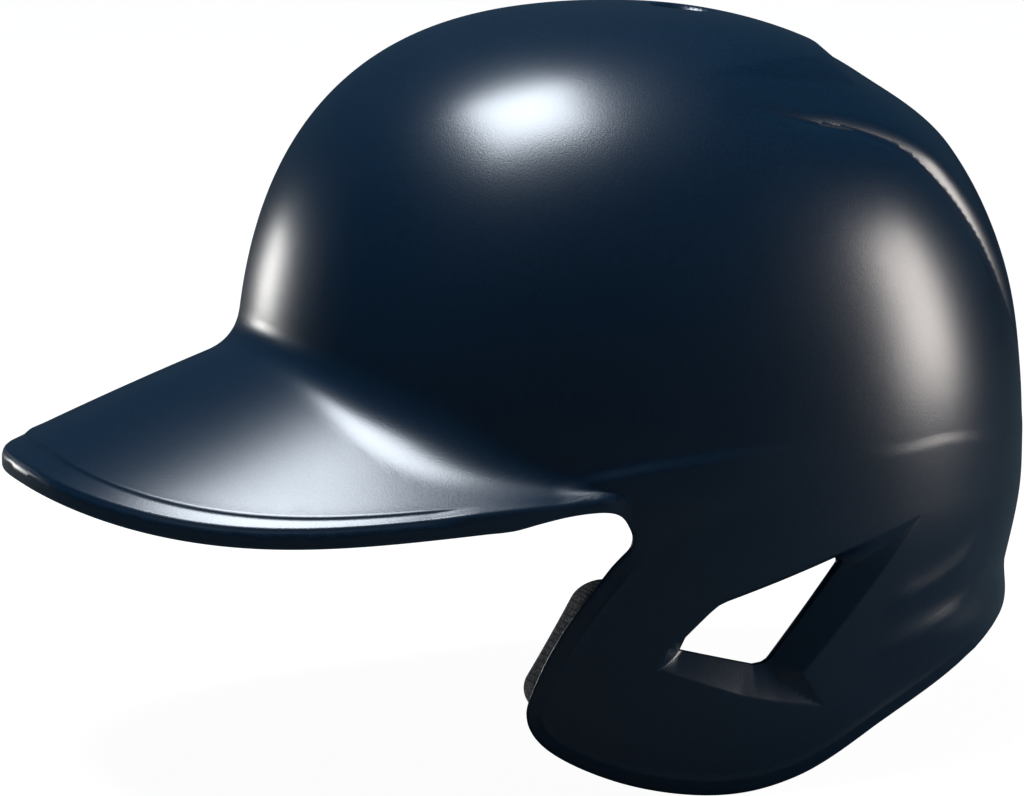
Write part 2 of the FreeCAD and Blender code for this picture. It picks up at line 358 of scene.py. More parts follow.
def rimLoop():
    turn = np.radians(np.linspace(-rim["billTurn"], rim["billTurn"], 240))
    angle = -math.pi / 2 + turn
    v = browAt(angle)
    foot = polarToFlat(angle, v["run"] + np.maximum(v["wide"], 0) + bill["lip"])
    flap = onSide(smoothCurve(rim["flapSide"], 180))
    around = np.vstack([foot[::6], flap[::3], onBack(rim["nape"]), onSide(rim["openSide"], -1)])
    around = smoothCurve(around, 3000, closed=True)
    space = basePoint(around)
    run = np.append(0, np.cumsum(np.linalg.norm(np.diff(space, axis=0), axis=1)))
    count = int(run[-1] / rim["spacing"])
    at = np.linspace(0, run[-1], count, endpoint=False)
    return np.stack([np.interp(at, run, around[:, k]) for k in range(2)], -1)


def shifted(loop, distance):    # a closed loop moved to its left by a distance in millimetres on the form
    ahead = np.roll(loop, -1, 0) - np.roll(loop, 1, 0)
    ahead /= np.linalg.norm(ahead, axis=1)[:, None]
    left = np.stack([-ahead[:, 1], ahead[:, 0]], -1)
    stretch = np.interp(np.hypot(loop[:, 0], loop[:, 1]), section["flat"], section["stretch"])
    return loop + left * (distance * stretch)[:, None]


def clockwise(loop):
    ahead = np.roll(loop, -1, 0)
    area = np.sum(loop[:, 0] * ahead[:, 1] - ahead[:, 0] * loop[:, 1])
    return loop[::-1] if area > 0 else loop


def insideLoop(points, loop):
    inside = np.zeros(len(points), bool)
    for a, b in zip(loop, np.roll(loop, -1, 0)):
        crosses = (a[1] > points[:, 1]) != (b[1] > points[:, 1])
        if crosses.any():
            at = a[0] + (points[crosses, 1] - a[1]) / (b[1] - a[1]) * (b[0] - a[0])
            inside[crosses] ^= points[crosses, 0] < at
    return inside


def distanceTo(points, line, closed=False):    # each point's gap to a line, and how far along
    ends = np.roll(line, -1, 0) if closed else line[1:]
    starts = line if closed else line[:-1]
    best = np.full(len(points), 1e9)
    along = np.zeros(len(points))
    side = np.zeros(len(points))
    run = 0.0
    for a, b in zip(starts, ends):
        d = b - a
        length = max(float(np.hypot(*d)), 1e-9)
        t = np.clip(((points - a) @ d) / length ** 2, 0, 1)
        gap = points - a - t[:, None] * d
        far = np.hypot(gap[:, 0], gap[:, 1])
        near = far < best
        best = np.where(near, far, best)
        along = np.where(near, run + t * length, along)
        side = np.where(near, np.sign(d[0] * gap[:, 1] - d[1] * gap[:, 0]), side)
        run += length
    return best, along / run, side


# the mesh on the flat map
def quadPoints(loop, wanted, coarse=36.0):    # centres of squares, split until each is as small as wanted
    low, high = loop.min(0) - coarse, loop.max(0) + coarse
    grid = [np.arange(low[k], high[k], coarse) for k in range(2)]
    centres = np.stack(np.meshgrid(*grid), -1).reshape(-1, 2)
    size = coarse
    kept = []
    while len(centres):
        split = wanted(centres) < size * 0.8
        kept.append(centres[~split])
        size /= 2
        corners = np.array([(-1, -1), (1, -1), (-1, 1), (1, 1)]) * size / 2
        centres = (centres[split][:, None, :] + corners).reshape(-1, 2)
        if size < 0.3:
            kept.append(centres)
            break
    return np.vstack(kept)


def skin(outline, holes, creases, wanted):
    loops = [outline] + holes
    points = quadPoints(outline, wanted)
    inside = insideLoop(points, outline)
    for hole in holes:
        inside &= ~insideLoop(points, hole)
    points = points[inside]
    keep = np.ones(len(points), bool)
    for line, closed in [(loop, True) for loop in loops] + [(crease, False) for crease in creases]:
        low, high = line.min(0) - 12, line.max(0) + 12
        near = np.flatnonzero(np.all((points > low) & (points < high), axis=1))
        gap, along, side = distanceTo(points[near], line, closed)
        keep[near] &= gap > 0.55 * wanted(points[near])
    points = points[keep]
    edges, start, lines = [], 0, []
    for line, closed in [(loop, True) for loop in loops] + [(crease, False) for crease in creases]:
        n = len(line)
        edges += [(start + i, start + (i + 1) % n) for i in range(n if closed else n - 1)]
        lines.append(line)
        start += n
    every = np.vstack(lines + [points])
    verts, cutEdges, faces, origins, edgeOrigins, faceOrigins = delaunay_2d_cdt(
        [Vector(p) for p in every], edges, [], 0, 1e-4)
    flat = np.array([tuple(p) for p in verts])
    for i, origin in enumerate(origins):
        if origin:
            flat[i] = every[origin[0]]
    faces = np.array([tuple(f) for f in faces])
    middle = flat[faces].mean(1)
    inside = insideLoop(middle, outline)
    for hole in holes:
        inside &= ~insideLoop(middle, hole)
    faces = faces[inside]
    place = np.full(len(every), -1)
    for i, origin in enumerate(origins):
        for o in origin:
            place[o] = i
    loopIds, start = [], 0
    for loop in loops:
        loopIds.append(place[start:start + len(loop)])
        start += len(loop)
    a, b, c = (flat[faces[:, k]] for k in range(3))
    turned = (b[:, 0] - a[:, 0]) * (c[:, 1] - a[:, 1]) - (b[:, 1] - a[:, 1]) * (c[:, 0] - a[:, 0]) < 0
    faces[turned] = faces[turned][:, ::-1]
    return flat, faces, loopIds


def normalsOf(place, flat, step=0.2):
    stretch = np.interp(np.hypot(flat[:, 0], flat[:, 1]), section["flat"], section["stretch"])
    du = np.stack([step * np.maximum(stretch, 1), 0 * stretch], -1)
    dv = du[:, ::-1]
    across = place(flat + du) - place(flat - du)
    up = place(flat + dv) - place(flat - dv)
    n = np.cross(across, up)
    return n / np.maximum(np.linalg.norm(n, axis=1), 1e-12)[:, None]


# pressed details of the shell
def ease(t):
    t = np.clip(t, 0, 1)
    return t * t * (3 - 2 * t)


def softOver(t, soft):    # t where it is positive, 0 where it isn't, with the corner rounded
    return (t + np.sqrt(t * t + soft * soft)) / 2


def softStep(t, soft=0.09):    # 0 to 1 in a straight ramp with rounded ends
    return softOver(t, soft) - softOver(t - 1, soft)


def onForm(points):    # points near the surface (x, y, z) carried to the flat map
    p = np.array(points, float)
    rise = np.clip((p[:, 2] - form["equatorZ"]) / (form["crownZ"] - form["equatorZ"]), 0, 1)
    along = (p[:, 1] - form["centreY"] - form["crownShift"] * rise ** 2) / form["halfLength"]
    return polarToFlat(np.arctan2(along, p[:, 0] / form["halfWidth"]), runOfHeight(p[:, 2]))


def folded(flat):    # the far side's points mirrored to the flap side
    return np.stack([np.abs(flat[:, 0]), flat[:, 1]], -1)


def stretchAt(flat):
    return np.interp(np.hypot(flat[:, 0], flat[:, 1]), section["flat"], section["stretch"])


pocket = {
    "outline": [(-30.4, -76.6), (-28.0, -69.6), (-12.2, -56.8), (20.8, -47.2), (52.5, -39.4), (13.8, -81.6),
                (21.6, -92.6), (6.2, -89.4), (-5.2, -86.4), (-21.3, -80.2)],
    "hole": [(-23.1, -72.7), (-21.6, -69.2), (-12.9, -60.8), (-9.4, -59.4), (27.0, -49.3), (28.2, -50.8),
             (5.4, -77.6), (3.6, -78.6), (0.2, -78.9)],
    "depth": 5.5,
    "soft": 0.45,
}

funnel = {"centre": (0.0, 23.0), "mouth": (9.6, 11.2), "throat": 5.4, "depth": 5.0, "soft": 0.5}

spine = {
    "crest": [(57.4, -8.0, 85.8), (52.5, 16.8, 87.1), (45.1, 33.1, 87.6), (34.6, 49.5, 86.5),
              (18.0, 59.4, 87.6), (0.0, 63.0, 88.3)],
    "foot": [(57.6, -8.0, 85.6), (56.7, 14.8, 84.9), (53.1, 35.6, 83.0), (46.7, 51.0, 81.1),
             (44.4, 58.6, 78.6), (24.0, 66.4, 84.6), (0.0, 68.6, 86.0)],
    "raise": -0.9,
    "centre": (-2.7, 0.6),        # height of the rear panel at the foot of the spine, and further down
    "centreRun": (75.0, 32.0),
    "front": (-4.0, 44.0),
    "fadeRun": (96.0, 118.0, 150.0, 178.0),     # where the panel ends: at the back, and at the crescents
}

crescent = {
    "ridge": [(70.5, 6.0, 79.0), (68.4, 28.0, 73.8), (65.6, 46.0, 69.9), (64.1, 62.6, 62.1),
              (64.0, 77.3, 48.5),
              (62.3, 91.8, 29.2), (58.8, 101.7, 9.8), (53.0, 107.5, -8.0)],
    "width": 6.4,
    "step": 2.4,
    "lead": 12.0,
}

sideBand = {
    "top": [(-75, -25.5), (-57, -22.9), (-36, -19.1), (-19, -17.2), (10, -15.5), (60, -14)],
    "foot": [(-75, -31), (-37.6, -28.4), (-8.8, -25.8), (8.9, -23.5), (60, -19)],
    "low": [(-75, -47), (-36, -41.4), (-28.4, -37.5), (-14.8, -32.7), (6.7, -29), (60, -22)],
    "raise": 1.6,
    "fade": (-40.0, 22.0),
}

rearCrease = {"line": [(20, -15.5), (42.4, -16.8), (63.8, -16.5), (90.6, -20.5), (130, -24)], "raise": 0.22,
              "step": 4.5, "fall": 22.0, "front": (26.0, 50.0)}

folds = [
    {"line": [(38, -66), (47.8, -63.7), (59.6, -61.4), (72.1, -56.6), (84, -50)], "raise": 0.75,
     "wide": 4.0},
    {"line": [(34, -80), (48, -77), (62, -73.5), (78, -67), (90, -60)], "raise": 0.6, "wide": 4.5},
]

nape = {"start": -66.0, "span": 13.0, "raise": 2.8, "side": (40.0, 85.0)}

rimBand = {"wide": 4.6, "drop": 0.75, "ridge": 0.28, "ridgeWide": 0.75, "fade": (20.0, 75.0)}


flange = {"side": 3.6, "tip": 8.5, "turn": 0.9, "drop": 0.55, "soft": 1.8, "bead": 0.12, "end": 0.88}


def lineHeight(points, y):
    p = np.array(points, float)
    smooth = smoothCurve(p, 200)
    return np.interp(y, smooth[:, 0], smooth[:, 1])


def pocketShare(flat, grow=0.0):    # 1 on the pocket's floor and 0 outside its outline
    share = np.zeros(len(flat))
    near = np.flatnonzero((flat[:, 0] > 150) & (np.abs(flat[:, 1]) < 420))
    if len(near) == 0:
        return share
    p, stretch = flat[near], stretchAt(flat[near])
    outline, hole = pocketLines["outline"], pocketLines["hole"]
    toEdge = distanceTo(p, outline, True)[0] / stretch * np.where(insideLoop(p, outline), 1, -1) + grow
    toHole = distanceTo(p, hole, True)[0] / stretch * np.where(insideLoop(p, hole), -1, 1) - grow
    down = softOver(toEdge, pocket["soft"]) - pocket["soft"] / 2 * np.exp(-np.abs(toEdge))
    up = softOver(toHole, pocket["soft"])
    share[near] = np.clip(down / np.maximum(down + up, 1e-6), 0, 1)
    return share


def funnelShare(base, grow=0.0):
    x, y = base[:, 0] - funnel["centre"][0], base[:, 1] - funnel["centre"][1]
    r = np.hypot(x, y)
    a, b = funnel["mouth"]
    mouth = (a * b / np.maximum(np.hypot(b * x, a * y), 1e-6)) * r + grow
    toEdge = softOver(mouth - r, funnel["soft"])
    toThroat = softOver(r - funnel["throat"] - grow, funnel["soft"])
    share = toEdge / (toEdge + toThroat)
    return np.where((base[:, 2] > 60) & (r < 20), ease(share * 1.08 - 0.04), 0)


def spineShare(flat):    # 0 on the raised panel, 1 past the foot of its walls
    p = folded(flat)
    crest, foot = spineLines["crest"], spineLines["foot"]
    share = np.ones(len(p))
    within = insideLoop(p, spineLines["panel"])
    share[within] = 0
    wall = np.flatnonzero(insideLoop(p, spineLines["whole"]) & ~within)
    toCrest = distanceTo(p[wall], crest)[0]
    toFoot = distanceTo(p[wall], foot)[0]
    share[wall] = toCrest / np.maximum(toCrest + toFoot, 1e-6)
    return share


def flangeWide(v):    # the flange narrows from the bill's tip to its sides
    turn = np.clip(1 - v["turn"] / flange["turn"], 0, 1)
    return flange["side"] + (flange["tip"] - flange["side"]) * turn ** 2


def napeFlare(y, z):    # 1 where the nape turns out, 0 elsewhere
    start, end = nape["side"]
    return ease((nape["start"] - z) / nape["span"]) * ease((y - start) / (end - start))


def pressed(flat, base):    # how far the outer face stands above the plain form
    x, y, z = base.T
    press = np.zeros(len(flat))
    top = np.flatnonzero((z > -20) & (y > -15))
    if len(top):
        f, yt = flat[top], y[top]
        angle, run = flatToPolar(f)
        wall = spineShare(f)
        gap, along, side = distanceTo(folded(f), crescentLine)
        gap = gap / stretchAt(f) * side
        arch = np.sin(math.pi * np.clip(along * 0.94 + 0.05, 0, 1)) ** 0.6
        band = 1 - np.clip(1 - gap / (crescent["width"] * arch + 0.6), 0, 1) ** 1.7
        off = ease(np.abs(np.abs(angle - math.pi / 2)) / math.radians(34))
        r0, r1, r2, r3 = spine["fadeRun"]
        start, end = r0 + (r2 - r0) * off, r1 + (r3 - r1) * off
        rear = 1 - ease((run - start) / (end - start))
        y0, y1 = spine["front"]
        lead = ease((yt - y0) / (y1 - y0))
        low, high = spine["centre"]
        level = low + (high - low) * ease((run - spine["centreRun"][0]) / spine["centreRun"][1])
        crease = level - crescent["step"] * arch
        outside = crease * np.exp(np.minimum(gap, 0) / crescent["lead"])
        rise = np.where(gap < 0, outside, crease + (level - crease) * band)
        press[top] += rise * wall * rear * lead
        press[top] += spine["raise"] * (1 - wall) * ease((yt + 10) / 70)
    side = np.flatnonzero((z < 0) & (z > -60))
    if len(side):
        ys, zs = y[side], z[side]
        head, foot, low = (lineHeight(sideBand[k], ys) for k in ("top", "foot", "low"))
        y0, y1 = sideBand["fade"]
        fade = (1 - ease((ys - y0) / (y1 - y0))) * ease((ys + 62) / 18)
        shape = ease((head + 4.2 - zs) / 4.2) * softStep((zs - low) / (foot - low))
        press[side] += sideBand["raise"] * fade * shape
    back = np.flatnonzero((z < -5) & (y > 15))
    if len(back):
        yb, zb = y[back], z[back]
        crease = lineHeight(rearCrease["line"], yb)
        y0, y1 = rearCrease["front"]
        below = crease - zb
        fall = np.exp(-np.maximum(below, 0) / rearCrease["fall"])
        start = ease((yb - y0) / (y1 - y0))
        press[back] += rearCrease["raise"] * start * ease(below / rearCrease["step"]) * fall
        for fold in folds:
            line = np.array(fold["line"], float)
            gap = zb - lineHeight(line, yb)
            ends = ease((yb - line[0, 0]) / 12) * ease((line[-1, 0] - yb) / 14)
            wide = fold["wide"]
            sharp = np.where(gap > 0, np.exp(-(gap / wide) ** 2), np.exp(gap / (wide * 1.6)))
            press[back] += fold["raise"] * ends * sharp
        press[back] += nape["raise"] * napeFlare(yb, zb)
    edge = np.flatnonzero((z < -25) & (x > 0))
    if len(edge):
        f = flat[edge]
        gap, along = distanceTo(f, flapRimLine)[:2]
        gap = gap / stretchAt(f)
        fade = 1 - 0.75 * ease((y[edge] - rimBand["fade"][0]) / np.diff(rimBand["fade"])[0])
        fade *= ease((along - 0.02) / 0.035)
        wide = rimBand["wide"]
        roll = np.clip(1 - gap / wide, 0, 1)
        press[edge] += fade * (rimBand["ridge"] * np.exp(-((gap - wide - 0.3) / rimBand["ridgeWide"]) ** 2)
                               - rimBand["drop"] * roll ** 1.2)
    front = np.flatnonzero((y < -52) & (z < 12))
    if len(front):
        angle, run = flatToPolar(flat[front])
        v = browAt(angle)
        gap = v["wide"] - (run - v["run"])
        wide = flangeWide(v)
        present = ease((v["wide"] - 7) / 8) * ease((gap + 2.2) / 1.6)
        present *= ease((flange["end"] - v["turn"]) / 0.1)
        press[front] -= flange["drop"] * ease((wide - gap) / flange["soft"] + 0.5) * present
        press[front] += flange["bead"] * np.exp(-((gap - wide - 1.1) / 1.0) ** 2) * present
    press -= pocket["depth"] * pocketShare(flat)
    press -= funnel["depth"] * funnelShare(base)
    return press


def outerPoint(flat):
    base = basePoint(flat)
    normal = normalsOf(basePoint, flat, 0.6)
    return base + normal * pressed(flat, base)[:, None]


def innerPoint(flat):    # the inner face follows only what is pressed right through the wall
    base = basePoint(flat, bill["wall"])
    outer = basePoint(flat)
    away = np.stack([outer[:, 0], outer[:, 1] - form["centreY"], 0.9 * np.maximum(outer[:, 2] + 20, 0)], -1)
    away /= np.maximum(np.linalg.norm(away, axis=1), 1e-9)[:, None]
    press = nape["raise"] * napeFlare(outer[:, 1], outer[:, 2]) * (outer[:, 1] > 0)
    press = press - (pocket["depth"] - 0.2) * pocketShare(flat, 1.8)
    press = press - (funnel["depth"] - 0.2) * funnelShare(outer, 1.8)
    return base + away * press[:, None]


pocketLines = {
    "hole": onSide(evenly(np.vstack([pocket["hole"], pocket["hole"][:1]]), 161)[:-1]),
}
outlinePoints = np.vstack([pocket["outline"], pocket["outline"][:1]])
pocketLines["outline"] = onSide(evenly(outlinePoints, 240)[:-1])
spineLines = {k: onForm(smoothCurve(spine[k], 60)) for k in ("crest", "foot")}
centreFront = onForm([(0, -40, 98)])
over = np.array([40, 0])          # carries the panel's outline past the middle
spineEnd = spineLines["crest"][-1:] * [-1, 1] - over
spineLines["panel"] = np.vstack([spineLines["crest"], spineEnd, centreFront - over, centreFront])
spineEnd = spineLines["foot"][-1:] - over
spineLines["whole"] = np.vstack([spineLines["foot"], spineEnd, centreFront - over, centreFront])
crescentLine = onForm(smoothCurve(crescent["ridge"], 80))
rimLine = rimLoop()
flapRimLine = onSide(smoothCurve(rim["flapSide"], 130))


# the shell's mesh
shellMesh = {"base": 2.7, "fine": 0.95, "inner": 4.2}


def wantedOuter(flat):
    stretch = np.maximum(stretchAt(flat), 1)
    gaps = np.full(len(flat), 1e3)
    for line, closed, reach in outerLines:
        gap = distanceTo(folded(flat) if reach == "both" else flat, line, closed)[0] / stretch
        gaps = np.minimum(gaps, gap)
    fine = shellMesh["fine"]
    spacing = np.clip(fine + 0.28 * np.maximum(gaps - 1.6, 0), fine, shellMesh["base"])
    inPocket = pocketShare(flat) > 0.02
    spacing = np.where(inPocket, fine, spacing)
    return spacing * stretch


def wantedInner(flat):
    stretch = np.maximum(stretchAt(flat), 1)
    gaps = np.full(len(flat), 1e3)
    for line, closed, reach in outerLines[:3] + outerLines[-1:]:
        gaps = np.minimum(gaps, distanceTo(flat, line, closed)[0] / stretch)
    return np.clip(1.3 + 0.3 * np.maximum(gaps - 2, 0), 1.3, shellMesh["inner"]) * stretch


def makeMesh(name, verts, faces, normals=None, scale=millimetre):
    mesh = bpy.data.meshes.new(name)
    corners = [tuple(int(i) for i in f) for f in faces]
    mesh.from_pydata([tuple(v) for v in np.asarray(verts) * scale], [], corners)
    mesh.shade_smooth()
    if normals is not None:
        mesh.normals_split_custom_set_from_vertices([tuple(n) for n in normals])
    piece = bpy.data.objects.new(name, mesh)
    bpy.context.scene.collection.objects.link(piece)
    return piece


def edgeStrip(outer, inner, outerTip, innerTip, rings):    # a rounded edge between two loops of points
    a, d = outer, inner
    b = outer + (outerTip - outer) * 1.33
    c = inner + (innerTip - inner) * 1.33
    rows = []
    for k in range(1, rings):
        t = k / rings
        rows.append((1 - t) ** 3 * a + 3 * t * (1 - t) ** 2 * b + 3 * t * t * (1 - t) * c + t ** 3 * d)
    return rows


def billLine(offset, fromBrow, turn=58.0):    # a line along the bill, from its outline or the brow
    angle = -math.pi / 2 + np.radians(np.linspace(-turn, turn, 260))
    v = browAt(angle)
    reach = 0 if fromBrow else v["wide"]
    return polarToFlat(angle, v["run"] + reach + offset)


def flangeLine(offset, turn=50.0):
    angle = -math.pi / 2 + np.radians(np.linspace(-turn, turn, 220))
    v = browAt(angle)
    wide = flangeWide(v)
    return polarToFlat(angle, v["run"] + v["wide"] - wide - offset)


def bothSides(line):
    return [line, line * [-1, 1]]


def outerCreases():
    lines = []
    for gap in (-0.55, 0.0, 0.6):
        ring = shifted(clockwise(pocketLines["outline"]), gap)
        lines.append(np.vstack([ring, ring[:1]]))
    flap = onSide(smoothCurve(rim["flapSide"][2:], 210))
    lines += [shifted(flap, gap)[4:-8] for gap in (3.7, 4.5, 5.3)]
    lines += [billLine(offset, False) for offset in (-1.4, 0.0, 1.2)]
    lines += [flangeLine(offset) for offset in (-0.8, 0.1, 1.2)]
    for name, first, last in (("top", -44, 14), ("foot", -40, 14), ("low", -34, 10)):
        y = np.arange(first, last, 1.5)
        both = bothSides(onSide(np.stack([y, lineHeight(sideBand[name], y)], -1)))
        lines += both[:1] if name == "low" else both    # the open side ends above the low line
    angle = np.radians(np.arange(18, 162.5, 0.75))
    for gap in (0.0, -rearCrease["step"]):
        z = np.full(angle.shape, -17.0)
        for step in range(4):
            z = lineHeight(rearCrease["line"], domePoint(angle, z)[:, 1]) + gap
        lines.append(polarToFlat(angle, runOfHeight(z)))
    lines += bothSides(onForm(smoothCurve(spine["crest"], 95))[2:-1])
    lines += bothSides(onForm(smoothCurve(spine["foot"], 95))[4:-1])
    lines += bothSides(onForm(smoothCurve(crescent["ridge"], 110))[2:])
    return lines


def innerCreases():
    return [billLine(offset, True) for offset in (0.4, 3.0, 5.6)] + [billLine(-3.6, False)]


def buildShell():
    holes = {
        "vent": (clockwise(pocketLines["hole"]), 0.6),
        "crown": (clockwise(funnelThroat), 0.5),
    }
    outline = shifted(rimLine, rim["round"])
    outerHoles = [shifted(loop, gap) for loop, gap in holes.values()]
    flat, faces, loops = skin(outline, outerHoles, outerCreases(), wantedOuter)
    innerFlat, innerFaces, innerLoops = skin(outline, outerHoles, innerCreases(), wantedInner)
    outer, inner = outerPoint(flat), innerPoint(innerFlat)
    normals = [normalsOf(outerPoint, flat, 0.25), -normalsOf(innerPoint, innerFlat, 0.5)]
    verts = [outer, inner]
    total = len(outer) + len(inner)
    allFaces = [faces, innerFaces[:, ::-1] + len(outer)]
    tips = [rimLine] + [loop for loop, gap in holes.values()]
    for ids, innerIds, tip in zip(loops, innerLoops, tips):
        a, d = outer[ids], inner[innerIds]
        tipOut, tipIn = outerPoint(tip), innerPoint(tip)
        rows = edgeStrip(a, d, tipOut, tipIn, rim["rings"])
        n = len(ids)
        grid = [np.array(ids)]
        for row in rows:
            verts.append(row)
            grid.append(np.arange(total, total + n))
            total += n
        grid.append(np.array(innerIds) + len(outer))
        stack = np.stack([a] + rows + [d])
        around = np.roll(stack, -1, 1) - np.roll(stack, 1, 1)
        across = np.gradient(stack, axis=0)
        n3 = np.cross(across, around)
        n3 /= np.maximum(np.linalg.norm(n3, axis=2), 1e-9)[..., None]
        normals += [n3[r] for r in range(1, len(rows) + 1)]
        for upper, lower in zip(grid, grid[1:]):
            nextUpper, nextLower = np.roll(upper, -1), np.roll(lower, -1)
            quads = np.stack([upper, lower, nextLower, nextUpper], -1)
            allFaces.append(np.vstack([quads[:, [0, 1, 2]], quads[:, [0, 2, 3]]]))
    return np.vstack(verts), np.vstack(allFaces), np.vstack(normals), len(faces), len(innerFaces)


turns = np.linspace(0, 2 * math.pi, 72, endpoint=False)
throatRing = np.stack([funnel["centre"][0] + funnel["throat"] * np.cos(turns),
                       funnel["centre"][1] + funnel["throat"] * np.sin(turns), 0 * turns + 97], -1)


def onTop(points):    # plan points (x, y) carried to the flat map near the crown
    p = np.array(points, float)[:, :2]
    flat = p.copy()
    for step in range(12):
        flat += (p - basePoint(flat)[:, :2])
    return flat


funnelThroat = onTop(throatRing)
mouthRing = onTop([(funnel["centre"][0] + funnel["mouth"][0] * math.cos(t),
                    funnel["centre"][1] + funnel["mouth"][1] * math.sin(t)) for t in turns])
outerLines = [
    (rimLine[::6], True, "one"), (pocketLines["outline"][::3], True, "one"), (mouthRing[::3], True, "one"),
    (spineLines["crest"][::3], False, "both"), (spineLines["foot"][::3], False, "both"),
    (crescentLine[::4], False, "both"),
    (onSide(smoothCurve(rearCrease["line"][1:4], 12)), False, "both"),
    (onSide(smoothCurve(sideBand["foot"][1:4], 8)), False, "both"),
    (onSide(smoothCurve(sideBand["top"][1:5], 8)), False, "both"),
    (billLine(0.0, True)[::8], False, "one"),
]


# materials
def nodeGroup(name, inputs, outputs):
    group = bpy.data.node_groups.new(name, "ShaderNodeTree")
    for label, kind, value in inputs:
        socket = group.interface.new_socket(name=label, in_out="INPUT", socket_type=kind)
        socket.default_value = value
    for label, kind in outputs:
        group.interface.new_socket(name=label, in_out="OUTPUT", socket_type=kind)
    return group, group.nodes.new("NodeGroupInput"), group.nodes.new("NodeGroupOutput")


def addNode(tree, kind, settings=None, sockets=None):
    node = tree.nodes.new(kind)
    for key, value in (settings or {}).items():
        setattr(node, key, value)
    for key, value in (sockets or {}).items():
        node.inputs[key].default_value = value
    return node


def mathNode(tree, operation, a, b=None, clamp=False):
    node = addNode(tree, "ShaderNodeMath", {"operation": operation, "use_clamp": clamp})
    for slot, value in enumerate((a, b)):
        if value is None:
            continue
        if hasattr(value, "is_output"):
            tree.links.new(value, node.inputs[slot])
        else:
            node.inputs[slot].default_value = value
    return node.outputs[0]


def sprayGrain():    # the fine orange skin of sprayed paint, with a slow drift in gloss
    group, into, out = nodeGroup(
        "sprayGrain", [("Size", "NodeSocketFloat", 0.0006), ("Drift", "NodeSocketFloat", 0.04)],
        [("Height", "NodeSocketFloat"), ("Gloss", "NodeSocketFloat")])
    place = addNode(group, "ShaderNodeTexCoord")
    scale = mathNode(group, "DIVIDE", 1.0, into.outputs["Size"])
    fine = addNode(group, "ShaderNodeTexNoise", sockets={"Detail": 1.5, "Roughness": 0.55})
    group.links.new(place.outputs["Object"], fine.inputs["Vector"])
    group.links.new(scale, fine.inputs["Scale"])
    slow = addNode(group, "ShaderNodeTexNoise", sockets={"Scale": 26.0, "Detail": 2.0})
    group.links.new(place.outputs["Object"], slow.inputs["Vector"])
    swing = mathNode(group, "SUBTRACT", slow.outputs["Fac"], 0.5)
    drift = mathNode(group, "MULTIPLY", swing, into.outputs["Drift"])
    group.links.new(fine.outputs["Fac"], out.inputs["Height"])
    group.links.new(drift, out.inputs["Gloss"])
    return group


def speckle():    # fine flecks of lighter and darker fibre or bead
    group, into, out = nodeGroup(
        "speckle", [("Size", "NodeSocketFloat", 0.001), ("Low", "NodeSocketFloat", 0.35),
                    ("High", "NodeSocketFloat", 0.65)], [("Mask", "NodeSocketFloat")])
    place = addNode(group, "ShaderNodeTexCoord")
    scale = mathNode(group, "DIVIDE", 1.0, into.outputs["Size"])
    noise = addNode(group, "ShaderNodeTexNoise", sockets={"Detail": 2.0, "Roughness": 0.7})
    group.links.new(place.outputs["Object"], noise.inputs["Vector"])
    group.links.new(scale, noise.inputs["Scale"])
    fade = addNode(group, "ShaderNodeMapRange", {"interpolation_type": "SMOOTHSTEP"})
    group.links.new(noise.outputs["Fac"], fade.inputs["Value"])
    group.links.new(into.outputs["Low"], fade.inputs["From Min"])
    group.links.new(into.outputs["High"], fade.inputs["From Max"])
    group.links.new(fade.outputs["Result"], out.inputs["Mask"])
    return group


def knitMesh():    # rows of rounded loops with a small hole between them, on the piece's own UV map
    group, into, out = nodeGroup("knitMesh", [("Pitch", "NodeSocketFloat", 0.0012)],
                                 [("Height", "NodeSocketFloat"), ("Hole", "NodeSocketFloat")])
    place = addNode(group, "ShaderNodeTexCoord")
    split = addNode(group, "ShaderNodeSeparateXYZ")
    group.links.new(place.outputs["UV"], split.inputs[0])
    across = mathNode(group, "DIVIDE", split.outputs["X"], into.outputs["Pitch"])
    up = mathNode(group, "DIVIDE", split.outputs["Y"], into.outputs["Pitch"])
    row = mathNode(group, "FLOORED_MODULO", mathNode(group, "FLOOR", up), 2.0)
    odd = mathNode(group, "MULTIPLY", row, 0.5)
    u = mathNode(group, "SUBTRACT", mathNode(group, "FRACT", mathNode(group, "ADD", across, odd)), 0.5)
    v = mathNode(group, "SUBTRACT", mathNode(group, "FRACT", up), 0.5)
    far = mathNode(group, "SQRT", mathNode(group, "ADD", mathNode(group, "MULTIPLY", u, u),
                                           mathNode(group, "MULTIPLY", v, v)))
    hole = addNode(group, "ShaderNodeMapRange", {"interpolation_type": "SMOOTHSTEP"},
                   {"From Min": 0.32, "From Max": 0.14})
    group.links.new(far, hole.inputs["Value"])
    group.links.new(mathNode(group, "SUBTRACT", 1.0, hole.outputs["Result"]), out.inputs["Height"])
    group.links.new(hole.outputs["Result"], out.inputs["Hole"])
    return group


